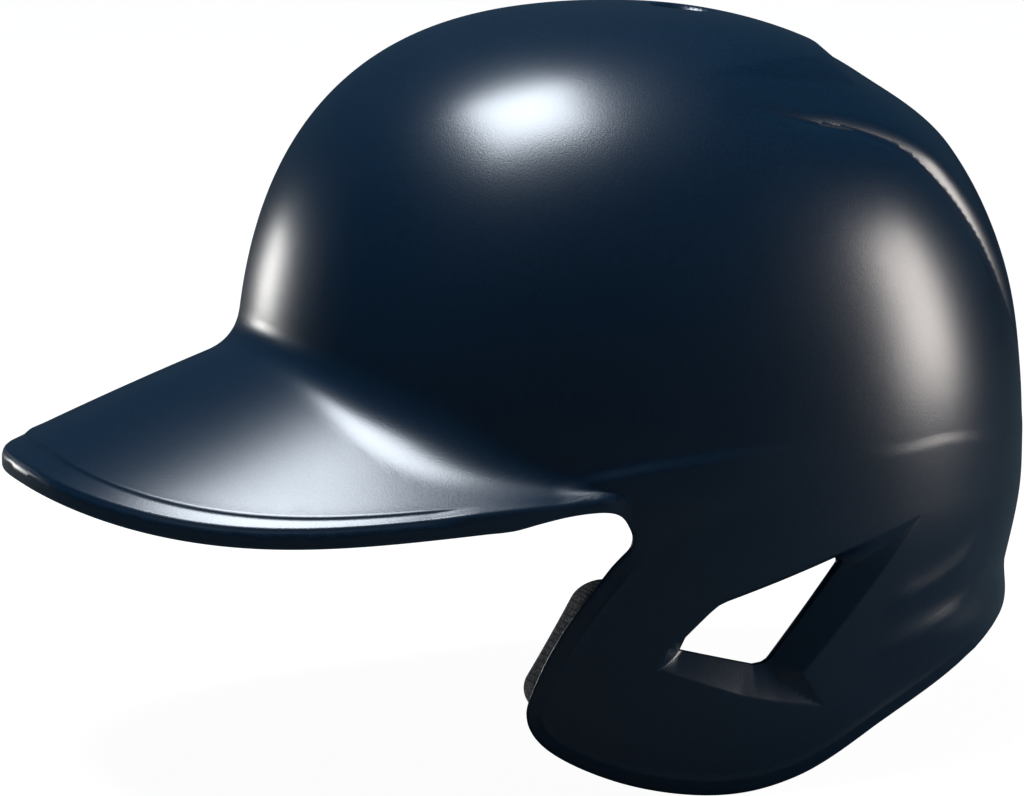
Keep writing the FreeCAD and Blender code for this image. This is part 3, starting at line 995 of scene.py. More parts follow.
def beadFoam():    # moulded beads pressed flat against each other
    group, into, out = nodeGroup("beadFoam", [("Bead", "NodeSocketFloat", 0.003)],
                                 [("Height", "NodeSocketFloat"), ("Tone", "NodeSocketFloat")])
    place = addNode(group, "ShaderNodeTexCoord")
    scale = mathNode(group, "DIVIDE", 1.0, into.outputs["Bead"])
    edge = addNode(group, "ShaderNodeTexVoronoi", {"feature": "DISTANCE_TO_EDGE"})
    cell = addNode(group, "ShaderNodeTexVoronoi", {"feature": "F1"})
    for node in (edge, cell):
        group.links.new(place.outputs["Object"], node.inputs["Vector"])
        group.links.new(scale, node.inputs["Scale"])
    flat = addNode(group, "ShaderNodeMapRange", {"interpolation_type": "SMOOTHSTEP"},
                   {"From Min": 0.0, "From Max": 0.12})
    group.links.new(edge.outputs["Distance"], flat.inputs["Value"])
    split = addNode(group, "ShaderNodeSeparateColor")
    group.links.new(cell.outputs["Color"], split.inputs[0])
    group.links.new(flat.outputs["Result"], out.inputs["Height"])
    group.links.new(split.outputs[0], out.inputs["Tone"])
    return group


groups = {"grain": sprayGrain(), "speckle": speckle(), "knit": knitMesh(), "bead": beadFoam()}


def startMaterial(name, sockets):
    material = bpy.data.materials.new(name)
    material.use_nodes = True
    tree = material.node_tree
    surface = tree.nodes["Principled BSDF"]
    for key, value in sockets.items():
        surface.inputs[key].default_value = value
    return material, tree, surface


def useGroup(tree, name, **values):
    node = addNode(tree, "ShaderNodeGroup", {"node_tree": groups[name]})
    for key, value in values.items():
        node.inputs[key].default_value = value
    return node


def addBump(tree, surface, height, strength, distance):
    bump = addNode(tree, "ShaderNodeBump", sockets={"Strength": strength, "Distance": distance})
    tree.links.new(height, bump.inputs["Height"])
    tree.links.new(bump.outputs["Normal"], surface.inputs["Normal"])


def colourRamp(tree, value, dark, light):
    ramp = addNode(tree, "ShaderNodeMix", {"data_type": "RGBA"})
    ramp.inputs[6].default_value = (*dark, 1)
    ramp.inputs[7].default_value = (*light, 1)
    tree.links.new(value, ramp.inputs[0])
    return ramp.outputs[2]


def paintMaterial(name, dark, light, rough, grainSize, bump):
    material, tree, surface = startMaterial(name, {"Specular IOR Level": 0.5})
    grain = useGroup(tree, "grain", Size=grainSize, Drift=0.05)
    flecks = useGroup(tree, "speckle", Size=0.0011, Low=0.3, High=0.75)
    tree.links.new(colourRamp(tree, flecks.outputs["Mask"], dark, light), surface.inputs["Base Color"])
    tree.links.new(mathNode(tree, "ADD", grain.outputs["Gloss"], rough), surface.inputs["Roughness"])
    addBump(tree, surface, grain.outputs["Height"], bump, grainSize * 0.12)
    return material


def fabricMaterial():
    material, tree, surface = startMaterial(
        "padFabric", {"Roughness": 0.9, "Sheen Weight": 0.35, "Sheen Roughness": 0.5,
                      "Specular IOR Level": 0.25})
    knit = useGroup(tree, "knit", Pitch=0.0011)
    flecks = useGroup(tree, "speckle", Size=0.0009, Low=0.42, High=0.62)
    yarn = colourRamp(tree, flecks.outputs["Mask"], (0.022, 0.023, 0.026), (0.16, 0.155, 0.15))
    # the holes between the loops are painted near black: partly the dark foam seen through them, partly
    # painted shade inside the holes
    tint = addNode(tree, "ShaderNodeMix", {"data_type": "RGBA"})
    tree.links.new(knit.outputs["Hole"], tint.inputs[0])
    tree.links.new(yarn, tint.inputs[6])
    tint.inputs[7].default_value = (0.008, 0.008, 0.009, 1)
    tree.links.new(tint.outputs[2], surface.inputs["Base Color"])
    addBump(tree, surface, knit.outputs["Height"], 0.8, 0.0003)
    return material


def foamMaterial():
    material, tree, surface = startMaterial("linerFoam", {"Roughness": 0.7, "Specular IOR Level": 0.3})
    bead = useGroup(tree, "bead", Bead=0.0032)
    tone = colourRamp(tree, bead.outputs["Tone"], (0.018, 0.018, 0.019), (0.034, 0.034, 0.036))
    # the grooves between the beads are painted near black: painted shade in the grooves, over the beads' own
    # tone
    seam = addNode(tree, "ShaderNodeMix", {"data_type": "RGBA"})
    tree.links.new(bead.outputs["Height"], seam.inputs[0])
    seam.inputs[6].default_value = (0.006, 0.006, 0.0065, 1)
    tree.links.new(tone, seam.inputs[7])
    tree.links.new(seam.outputs[2], surface.inputs["Base Color"])
    addBump(tree, surface, bead.outputs["Height"], 0.5, 0.00035)
    return material


def threadMaterial():
    material, tree, surface = startMaterial("thread", {"Roughness": 0.75, "Sheen Weight": 0.3})
    flecks = useGroup(tree, "speckle", Size=0.0004, Low=0.3, High=0.7)
    tree.links.new(colourRamp(tree, flecks.outputs["Mask"], (0.03, 0.03, 0.033), (0.09, 0.09, 0.095)),
                   surface.inputs["Base Color"])
    return material


def tapeMaterial(name, dark, light, size, bump):
    material, tree, surface = startMaterial(
        name, {"Roughness": 0.85, "Sheen Weight": 0.4, "Specular IOR Level": 0.3})
    grain = useGroup(tree, "grain", Size=size, Drift=0.1)
    flecks = useGroup(tree, "speckle", Size=size * 1.6, Low=0.35, High=0.7)
    tree.links.new(colourRamp(tree, flecks.outputs["Mask"], dark, light), surface.inputs["Base Color"])
    addBump(tree, surface, grain.outputs["Height"], bump, size * 0.6)
    return material


materials = {
    "paint": paintMaterial("satinPaint", (0.0004, 0.0075, 0.0190), (0.0008, 0.0105, 0.0260), 0.30,
                           0.00055, 0.35),
    "inside": paintMaterial("shellInside", (0.006, 0.009, 0.015), (0.010, 0.014, 0.021), 0.5,
                            0.0009, 0.6),
    "fabric": fabricMaterial(),
    "liner": foamMaterial(),
    "thread": threadMaterial(),
    "hook": tapeMaterial("hookTape", (0.008, 0.008, 0.009), (0.022, 0.022, 0.024), 0.0008, 0.4),
    "loop": tapeMaterial("loopTape", (0.012, 0.012, 0.013), (0.05, 0.05, 0.052), 0.0005, 0.9),
}
print("materials made")


# the shell piece
def buildShellPiece():
    verts, faces, normals, outerCount, innerCount = buildShell()
    piece = makeMesh("shell", verts, faces, normals)
    piece.data.materials.append(materials["paint"])
    piece.data.materials.append(materials["inside"])
    index = np.zeros(len(faces), int)
    index[outerCount:outerCount + innerCount] = 1
    piece.data.polygons.foreach_set("material_index", index)
    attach(piece, "helmet")
    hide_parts("outer_shell")
    return piece


# the liner
liner = {
    "outer": 3.3, "inner": 13.3, "round": 2.4, "spacing": 2.6, "rings": 7,
    "seamZ": -17.5, "gap": 0.8, "brow": (-105.0, -62.0, 5.0),
    "ventRadius": 12.8, "ventY": 22.0,
    "flapRim": [(-33, -40), (-48, -62), (-56, -80), (-56.5, -89), (-51, -94), (-34, -102), (-8, -108.5),
                (14, -106.5), (44, -95), (65.6, -88)],
    "napeRim": [(66, -50), (100, -65), (112, -68)],
    "earHole": (6.0, -68.0, 38.0, 26.0),
    "grooves": (-34.0, 0.0, 34.0), "grooveWide": 5.0, "grooveDeep": 3.4,
    "cross": (-62.0, 40.0),
}


def linerFace(inner):
    def place(flat):
        angle, run = flatToPolar(flat)
        if not inner:
            return layerPoint(angle, run, liner["outer"])
        outside = layerPoint(angle, run, 0.0)
        x, y, z = outside.T
        deep = np.zeros(len(flat))
        for across in liner["grooves"]:
            near = np.exp(-((x - across) / liner["grooveWide"]) ** 4)
            deep = np.maximum(deep, near * ease((z - 8) / 14))
        for along in liner["cross"]:
            near = np.exp(-((y - along) / liner["grooveWide"]) ** 4)
            deep = np.maximum(deep, near * ease((z - 8) / 14))
        thin = layerPoint(angle, run, liner["inner"] - liner["grooveDeep"])
        full = layerPoint(angle, run, liner["inner"])
        return full + (thin - full) * deep[:, None]
    return place


def foamBlock(name, outline, holes):
    outline = clockwise(outline)[::-1]
    holes = [clockwise(hole) for hole in holes]

    def wanted(flat):
        stretch = np.maximum(stretchAt(flat), 1)
        base = layerPoint(*flatToPolar(flat), 0.0)
        near = np.full(len(flat), 99.0)
        for across in liner["grooves"]:
            near = np.minimum(near, np.abs(np.abs(base[:, 0] - across) - 5) + (base[:, 2] < 5) * 9)
        for along in liner["cross"]:
            near = np.minimum(near, np.abs(np.abs(base[:, 1] - along) - 5) + (base[:, 2] < 5) * 9)
        return np.clip(1.5 + 0.3 * near, 1.5, liner["spacing"] * 1.5) * stretch

    outer, inner = linerFace(False), linerFace(True)
    inset = [shifted(outline, liner["round"])] + [shifted(hole, liner["round"]) for hole in holes]
    flat, faces, loops = skin(inset[0], inset[1:], [], wanted)
    outside, inside = outer(flat), inner(flat)
    verts, allFaces = [outside, inside], [faces, faces[:, ::-1] + len(flat)]
    total = 2 * len(flat)
    for ids, tip in zip(loops, [outline] + holes):
        rows = edgeStrip(outside[ids], inside[ids], outer(tip), inner(tip), liner["rings"])
        n = len(ids)
        grid = [np.array(ids)]
        for row in rows:
            verts.append(row)
            grid.append(np.arange(total, total + n))
            total += n
        grid.append(np.array(ids) + len(flat))
        for upper, lower in zip(grid, grid[1:]):
            quads = np.stack([upper, lower, np.roll(lower, -1), np.roll(upper, -1)], -1)
            allFaces.append(np.vstack([quads[:, [0, 1, 2]], quads[:, [0, 2, 3]]]))
    piece = makeMesh(name, np.vstack(verts), np.vstack(allFaces))
    piece.data.materials.append(materials["liner"])
    return piece


def loopOf(points, spacing=2.2):    # a closed line evenly run, spaced in millimetres on the form
    ring = np.vstack([points, points[:1]])
    space = basePoint(ring)
    run = np.append(0, np.cumsum(np.linalg.norm(np.diff(space, axis=0), axis=1)))
    at = np.linspace(0, run[-1], int(run[-1] / spacing), endpoint=False)
    return np.stack([np.interp(at, run, ring[:, k]) for k in range(2)], -1)


def buildLiner():
    angle = np.linspace(-math.pi, math.pi, 720, endpoint=False)
    front, back, high = liner["brow"]
    z = np.full(angle.shape, liner["seamZ"])
    for step in range(6):
        y = domePoint(angle, z)[:, 1]
        z = np.interp(y, [front, back], [high, liner["seamZ"]])
    crownLoop = loopOf(polarToFlat(angle, runOfHeight(z)))
    turn = np.linspace(0, 2 * math.pi, 60, endpoint=False)
    radius = liner["ventRadius"]
    vent = onTop(np.stack([radius * np.cos(turn), liner["ventY"] + radius * np.sin(turn)], -1))
    crown = foamBlock("liner_crown", crownLoop, [vent])
    top = liner["seamZ"] - liner["gap"]
    rimPart = smoothCurve(liner["flapRim"], 160)
    start, end = rimPart[0], rimPart[-1]
    corner = [(end[0], end[1] + (top - end[1]) * t) for t in np.linspace(0.04, 1, 24)]
    corner += [(end[0] + (start[0] - end[0]) * t, top) for t in np.linspace(0.03, 1, 40)]
    corner += [(start[0], top + (start[1] - top) * t) for t in np.linspace(0.1, 0.9, 8)]
    flapLoop = loopOf(onSide(np.vstack([rimPart, corner])))
    y, z, halfLong, halfHigh = liner["earHole"]
    turn = np.linspace(0, 2 * math.pi, 90, endpoint=False)
    ear = onSide(np.stack([y + halfLong * np.cos(turn), z + halfHigh * np.sin(turn)], -1))
    flap = foamBlock("liner_flap", flapLoop, [ear])
    frontY = liner["flapRim"][-1][0] + 2 * liner["gap"]
    rimPart = smoothCurve(liner["napeRim"], 60)
    left = onSide(rimPart[:-6])
    right = onSide(rimPart[:-6], -1)
    topLine = [(frontY, t) for t in np.linspace(top, liner["napeRim"][0][1], 14)]
    arc = np.linspace(0, 1, 60)
    a0 = angleAt(np.array([frontY]), np.array([top]), 1)[0]
    topArc = polarToFlat(a0 + (math.pi - 2 * a0) * arc, runOfHeight(np.full(60, top)))
    napeLoop = np.vstack([onSide(topLine), left, right[::-1], onSide(topLine, -1)[::-1], topArc[::-1][1:-1]])
    rear = foamBlock("liner_nape", loopOf(napeLoop), [])
    for piece, node in ((crown, "crown_liner"), (flap, "flap_liner"), (rear, "nape_liner")):
        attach(piece, "helmet")
        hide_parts(node)
    print("liner made")


# the pads
pads = {
    "forehead": {"side": "front", "centre": (0, 27), "size": (112, 30), "corner": 12,
                 "channels": (-30, 0, 30)},
    "rear": {"side": "back", "centre": (0, -24), "size": (84, 40), "corner": 14, "channels": (-21, 21)},
    "crown": {"side": "top", "centre": (0, -22), "size": (60, 58), "corner": 20, "channels": (-12, 12)},
    "cheek": {"side": "left", "centre": (-40.8, -76), "size": (20, 44), "corner": 9,
              "tilt": -22.5, "thick": 12, "channels": ()},
    "left_temple": {"side": "left", "centre": (-28, 10), "size": (56, 34), "corner": 12, "channels": (0,)},
    "right_temple": {"side": "right", "centre": (-28, 10), "size": (56, 34), "corner": 12, "channels": (0,)},
    "ear": {"side": "left", "centre": (55, -64), "size": (16, 44), "corner": 7, "channels": ()},
}
padForm = {
    "thick": 7.0, "taped": ("forehead", "rear", "crown", "cheek"), "tapedStart": 16.0, "bondedStart": 13.5,
    "around": 220, "seam": 2.6, "seamDeep": 1.0, "channelDeep": 1.5, "channelWide": 1.5,
}


def onLayer(side, a, b, inset):    # a pad's own coordinates carried to the layer at an inset
    shape = np.shape(a)
    a, b, inset = (np.broadcast_to(np.asarray(k, float), shape).ravel() for k in (a, b, inset))
    if side == "top":
        low, high = np.full(a.shape, 0.0), form["crownZ"] - inset
        for step in range(44):
            z = (low + high) / 2
            rise = (z - form["equatorZ"]) / (form["crownZ"] - inset - form["equatorZ"])
            u = a / (form["halfWidth"] - inset)
            v = (b - form["centreY"] - form["crownShift"] * rise ** 2) / (form["halfLength"] - inset)
            angle = np.arctan2(v, u)
            swell = 1 + form["cornerSwell"] * np.sin(2 * angle) ** 2
            scale = (1 - np.clip(rise, 0, 1) ** form["crownPower"]) ** (1 / form["crownPower"])
            inside = np.hypot(u, v) / swell < scale
            low = np.where(inside, z, low)
            high = np.where(inside, high, z)
        return np.stack([a, b, low], -1).reshape(*shape, 3)
    if side in ("left", "right"):
        low, high = np.full(a.shape, -math.pi / 2), np.full(a.shape, math.pi / 2)
        axis, sign, target = 1, 1, a
    else:
        back = side == "back"
        low, high = (np.full(a.shape, 0.0), np.full(a.shape, math.pi)) if back else (
            np.full(a.shape, -math.pi), np.full(a.shape, 0.0))
        axis, sign, target = 0, (-1 if back else 1), (-a if back else a)
    for step in range(40):
        middle = (low + high) / 2
        p = domeAtInset(middle, b, inset)[:, axis] * sign
        under = p < target * sign
        low = np.where(under, middle, low)
        high = np.where(under, high, middle)
    if side == "right":
        low = math.pi - low
    return domeAtInset(low, b, inset).reshape(*shape, 3)


def domeAtInset(angle, z, inset):    # as domePoint, with an inset for each point
    f = form
    top = f["crownZ"] - inset
    along = np.sin(angle)
    swell = 1 + f["cornerSwell"] * np.sin(2 * angle) ** 2
    rise = np.clip((z - f["equatorZ"]) / (top - f["equatorZ"]), 0, 1)
    upper = (1 - rise ** f["crownPower"]) ** (1 / f["crownPower"])
    drop = np.maximum(f["equatorZ"] - z, 0) / f["tuckSpan"]
    fall = drop ** 3 / (drop ** 2 + f["tuckEase"] ** 2)
    lower = 1 - fall * (f["sideTuck"] + f["napeTuck"] * np.maximum(along, 0) ** 2)
    scale = np.where(z >= f["equatorZ"], upper, lower)
    x = (f["halfWidth"] - inset) * scale * swell * np.cos(angle)
    y = f["centreY"] + f["crownShift"] * rise ** 2 + (f["halfLength"] - inset) * scale * swell * along
    return np.stack([x, y, z], -1)


def roundedOutline(width, height, corner, count):    # an even walk round a rectangle with round corners
    straightX, straightY = width / 2 - corner, height / 2 - corner
    points = []
    for k, (sx, sy) in enumerate(((1, 1), (-1, 1), (-1, -1), (1, -1))):
        start = math.pi / 2 * k
        for t in np.linspace(0, math.pi / 2, 24):
            points.append((sx * straightX + corner * math.cos(start + t),
                           sy * straightY + corner * math.sin(start + t)))
    points.append(points[0])
    return evenly(np.array(points), count + 1)[:-1]


def padPlane(pad, inPlane):    # turned and placed in the pad's own side
    tilt = math.radians(pad.get("tilt", 0))
    c, s = math.cos(tilt), math.sin(tilt)
    a = inPlane[..., 0] * c - inPlane[..., 1] * s + pad["centre"][0]
    b = inPlane[..., 0] * s + inPlane[..., 1] * c + pad["centre"][1]
    return a, b


def padShape(pad, edge, scale):    # the outline drawn in by edge, then shrunk towards the centre
    (w, h), corner = pad["size"], pad["corner"]
    ring = roundedOutline(w - 2 * edge, h - 2 * edge, max(corner - edge, 1.2), padForm["around"])
    return ring * scale


def buildPad(name):
    pad = pads[name]
    thick = pad.get("thick", padForm["thick"])
    start = padForm["tapedStart"] if name in padForm["taped"] else padForm["bondedStart"]
    inner = 8.0 if min(pad["size"]) > 20 else 5.0
    rows = []
    rings = [(inner, k) for k in np.linspace(0.03, 0.97, 22)]
    edges = [inner, 5.6, 4.4, 3.7, 3.2, 2.9, 2.6, 2.3, 2.0, 1.6, 1.15, 0.7, 0.35, 0.1]
    for edge, scale in rings + [(e, 1.0) for e in edges if e <= inner]:
        ring = padShape(pad, edge, scale)
        x = ring[:, 0]
        puff = 1 - 0.1 * scale ** 2 * (edge >= inner)
        swell = np.clip((edge if scale == 1.0 else inner) / inner, 0, 1)
        height = 0.58 + 0.42 * (1 - (1 - swell) ** 2.6)
        depth = thick * height * np.ones(len(x))
        depth -= padForm["seamDeep"] * math.exp(-((edge - padForm["seam"]) / 0.55) ** 2) * (scale == 1.0)
        for channel in pad["channels"]:
            wide = padForm["channelWide"]
            depth -= padForm["channelDeep"] * np.exp(-(np.abs(x - channel) / wide) ** 1.6) * min(
                1.0, max(0.0, (edge - 2.2) / 2.0) if scale == 1.0 else 1.0)
        depth -= 0.35 * (1 - puff) * thick
        rows.append((ring, depth))
    side = [(0.0, t) for t in (0.50, 0.40, 0.28, 0.16)]
    for edge, level in side:
        rows.append((padShape(pad, edge, 1.0), np.full(padForm["around"], thick * level)))
    for edge, level in ((0.15, 0.07), (0.5, 0.02), (1.2, 0.0), (3.0, 0.0)):
        rows.append((padShape(pad, edge, 1.0), np.full(padForm["around"], thick * level)))
    for scale in np.linspace(0.9, 0.04, 10):
        rows.append((padShape(pad, 3.0, scale), np.zeros(padForm["around"])))
    plane = np.stack([ring for ring, depth in rows])
    depth = np.stack([d for ring, d in rows])
    a, b = padPlane(pad, plane)
    space = onLayer(pad["side"], a, b, start + depth)
    n, count = space.shape[:2]
    verts = space.reshape(-1, 3)
    first, last = space[0].mean(0), space[-1].mean(0)
    verts = np.vstack([verts, first, last])
    faces = []
    for i in range(n - 1):
        for j in range(count):
            k = (j + 1) % count
            faces.append((i * count + j, i * count + k, (i + 1) * count + k, (i + 1) * count + j))
    for j in range(count):
        k = (j + 1) % count
        faces.append((n * count, k, j))
        faces.append((n * count + 1, (n - 1) * count + j, (n - 1) * count + k))
    piece = makeMesh(name + "_pad", verts, faces)
    mesh = piece.data
    flatUv = np.stack([plane[..., 0], plane[..., 1]], -1).reshape(-1, 2)
    flatUv = np.vstack([flatUv, [[0, 0], [0, 0]]]) * millimetre
    uv = mesh.uv_layers.new(name="cloth")
    index = np.zeros(len(mesh.loops), int)
    mesh.loops.foreach_get("vertex_index", index)
    uv.data.foreach_set("uv", flatUv[index].ravel())
    fixNormals(mesh)
    mesh.materials.append(materials["fabric"])
    body = name + "_pad" if name in padForm["taped"] else "helmet"
    stitches = stitchRow(pad, start, thick)
    joinInto(piece, [stitches])
    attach(piece, body)
    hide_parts(name + "_pad_cover", name + "_pad_foam")
    return piece


def fixNormals(mesh):
    work = bmesh.new()
    work.from_mesh(mesh)
    if work.calc_volume(signed=True) < 0:
        bmesh.ops.reverse_faces(work, faces=work.faces)
    work.to_mesh(mesh)
    work.free()


def joinInto(piece, others):    # adds plain meshes to a piece, with their own materials
    for other in others:
        work = bmesh.new()
        work.from_mesh(piece.data)
        count = len(piece.data.materials)
        before = len(work.faces)
        work.from_mesh(other.data)
        work.faces.ensure_lookup_table()
        for face in work.faces[before:]:
            face.material_index += count
            face.smooth = True
        for material in other.data.materials:
            piece.data.materials.append(material)
        work.to_mesh(piece.data)
        work.free()
        bpy.data.objects.remove(other, do_unlink=True)


# stitches and hooks with Geometry Nodes
def geometryTree(name, inputs):
    tree = bpy.data.node_groups.new(name, "GeometryNodeTree")
    tree.interface.new_socket(name="Geometry", in_out="INPUT", socket_type="NodeSocketGeometry")
    for label, kind, value in inputs:
        socket = tree.interface.new_socket(name=label, in_out="INPUT", socket_type=kind)
        if value is not None:
            socket.default_value = value
    tree.interface.new_socket(name="Geometry", in_out="OUTPUT", socket_type="NodeSocketGeometry")
    return tree, tree.nodes.new("NodeGroupInput"), tree.nodes.new("NodeGroupOutput")


def stitchTree():    # a short thread laid along a line at every pitch
    tree, into, out = geometryTree(
        "stitchRow", [("Pitch", "NodeSocketFloat", 0.0032), ("Thread", "NodeSocketFloat", 0.00032),
                      ("Length", "NodeSocketFloat", 0.0022), ("Material", "NodeSocketMaterial", None)])
    link = tree.links.new
    toCurve = tree.nodes.new("GeometryNodeMeshToCurve")
    spread = tree.nodes.new("GeometryNodeCurveToPoints")
    spread.mode = "LENGTH"
    link(into.outputs["Geometry"], toCurve.inputs["Mesh"])
    link(toCurve.outputs[0], spread.inputs["Curve"])
    link(into.outputs["Pitch"], spread.inputs["Length"])
    ball = tree.nodes.new("GeometryNodeMeshIcoSphere")
    ball.inputs["Subdivisions"].default_value = 2
    link(into.outputs["Thread"], ball.inputs["Radius"])
    drawn = tree.nodes.new("GeometryNodeTransform")
    ratio = tree.nodes.new("ShaderNodeMath")
    ratio.operation = "DIVIDE"
    link(into.outputs["Length"], ratio.inputs[0])
    twice = tree.nodes.new("ShaderNodeMath")
    twice.operation = "MULTIPLY"
    twice.inputs[1].default_value = 2.0
    link(into.outputs["Thread"], twice.inputs[0])
    link(twice.outputs[0], ratio.inputs[1])
    size = tree.nodes.new("ShaderNodeCombineXYZ")
    size.inputs["X"].default_value = 1.0
    size.inputs["Y"].default_value = 1.0
    link(ratio.outputs[0], size.inputs["Z"])
    link(size.outputs[0], drawn.inputs["Scale"])
    link(ball.outputs["Mesh"], drawn.inputs["Geometry"])
    lay = tree.nodes.new("GeometryNodeInstanceOnPoints")
    link(spread.outputs["Points"], lay.inputs["Points"])
    link(drawn.outputs["Geometry"], lay.inputs["Instance"])
    link(spread.outputs["Rotation"], lay.inputs["Rotation"])
    real = tree.nodes.new("GeometryNodeRealizeInstances")
    link(lay.outputs[0], real.inputs[0])
    paint = tree.nodes.new("GeometryNodeSetMaterial")
    link(real.outputs[0], paint.inputs["Geometry"])
    link(into.outputs["Material"], paint.inputs["Material"])
    link(paint.outputs[0], out.inputs[0])
    return tree


def hookTree():    # mushroom hooks standing on every point of a tape
    tree, into, out = geometryTree(
        "hookField", [("Stem", "NodeSocketFloat", 0.00016), ("Tall", "NodeSocketFloat", 0.0007),
                      ("Cap", "NodeSocketFloat", 0.00034), ("Seed", "NodeSocketInt", 7),
                      ("Material", "NodeSocketMaterial", None)])
    link = tree.links.new
    points = tree.nodes.new("GeometryNodeMeshToPoints")
    link(into.outputs["Geometry"], points.inputs["Mesh"])
    normal = tree.nodes.new("GeometryNodeInputNormal")
    turn = tree.nodes.new("FunctionNodeAlignRotationToVector")
    turn.axis = "Z"
    kept = tree.nodes.new("GeometryNodeCaptureAttribute")
    kept.capture_items.new("VECTOR", "Normal")
    link(into.outputs["Geometry"], kept.inputs["Geometry"])
    link(normal.outputs[0], kept.inputs[1])
    link(kept.outputs["Geometry"], points.inputs["Mesh"])
    link(kept.outputs[1], turn.inputs["Vector"])
    stem = tree.nodes.new("GeometryNodeMeshCylinder")
    stem.inputs["Vertices"].default_value = 5
    link(into.outputs["Stem"], stem.inputs["Radius"])
    link(into.outputs["Tall"], stem.inputs["Depth"])
    cap = tree.nodes.new("GeometryNodeMeshIcoSphere")
    cap.inputs["Subdivisions"].default_value = 1
    link(into.outputs["Cap"], cap.inputs["Radius"])
    half = tree.nodes.new("ShaderNodeMath")
    half.operation = "MULTIPLY"
    half.inputs[1].default_value = 0.5
    link(into.outputs["Tall"], half.inputs[0])
    up = tree.nodes.new("ShaderNodeCombineXYZ")
    link(half.outputs[0], up.inputs["Z"])
    flatCap = tree.nodes.new("GeometryNodeTransform")
    flatCap.inputs["Scale"].default_value = (1, 1, 0.45)
    link(cap.outputs["Mesh"], flatCap.inputs["Geometry"])
    link(up.outputs[0], flatCap.inputs["Translation"])
    both = tree.nodes.new("GeometryNodeJoinGeometry")
    link(stem.outputs["Mesh"], both.inputs[0])
    link(flatCap.outputs["Geometry"], both.inputs[0])
    lift = tree.nodes.new("GeometryNodeTransform")
    link(both.outputs[0], lift.inputs["Geometry"])
    link(up.outputs[0], lift.inputs["Translation"])
    vary = tree.nodes.new("FunctionNodeRandomValue")
    vary.data_type = "FLOAT"
    vary.inputs[2].default_value = 0.86
    vary.inputs[3].default_value = 1.0
    link(into.outputs["Seed"], vary.inputs["Seed"])
    lay = tree.nodes.new("GeometryNodeInstanceOnPoints")
    link(points.outputs[0], lay.inputs["Points"])
    link(lift.outputs["Geometry"], lay.inputs["Instance"])
    link(turn.outputs[0], lay.inputs["Rotation"])
    link(vary.outputs[1], lay.inputs["Scale"])
    real = tree.nodes.new("GeometryNodeRealizeInstances")
    link(lay.outputs[0], real.inputs[0])
    paint = tree.nodes.new("GeometryNodeSetMaterial")
    link(real.outputs[0], paint.inputs["Geometry"])
    link(into.outputs["Material"], paint.inputs["Material"])
    link(paint.outputs[0], out.inputs[0])
    return tree


trees = {"stitch": stitchTree(), "hook": hookTree()}


def grown(piece, tree, values):    # a piece's Geometry Nodes result as one plain mesh
    modifier = piece.modifiers.new("grown", "NODES")
    modifier.node_group = tree
    for item in tree.interface.items_tree:
        if item.item_type == "SOCKET" and item.in_out == "INPUT" and item.name in values:
            modifier[item.identifier] = values[item.name]
    view = bpy.context.evaluated_depsgraph_get()
    mesh = bpy.data.meshes.new_from_object(piece.evaluated_get(view))
    made = bpy.data.objects.new(piece.name + "_grown", mesh)
    bpy.context.scene.collection.objects.link(made)
    bpy.data.objects.remove(piece, do_unlink=True)
    return made


def stitchRow(pad, start, thick):
    ring = padShape(pad, padForm["seam"], 1.0)
    a, b = padPlane(pad, ring)
    inner = 8.0 if min(pad["size"]) > 20 else 5.0
    swell = padForm["seam"] / inner
    depth = thick * (0.58 + 0.42 * (1 - (1 - swell) ** 2.6)) - padForm["seamDeep"] + 0.12
    space = onLayer(pad["side"], a, b, start + depth)
    n = len(space)
    mesh = bpy.data.meshes.new("seamLine")
    mesh.from_pydata([tuple(p) for p in space * millimetre], [(i, (i + 1) % n) for i in range(n)], [])
    line = bpy.data.objects.new("seamLine", mesh)
    bpy.context.scene.collection.objects.link(line)
    return grown(line, trees["stitch"], {"Material": materials["thread"]})


hookTape = {"margin": 7.0, "start": 13.5, "base": 0.45, "pitch": 1.7, "corner": 3.0, "edge": 1.4}


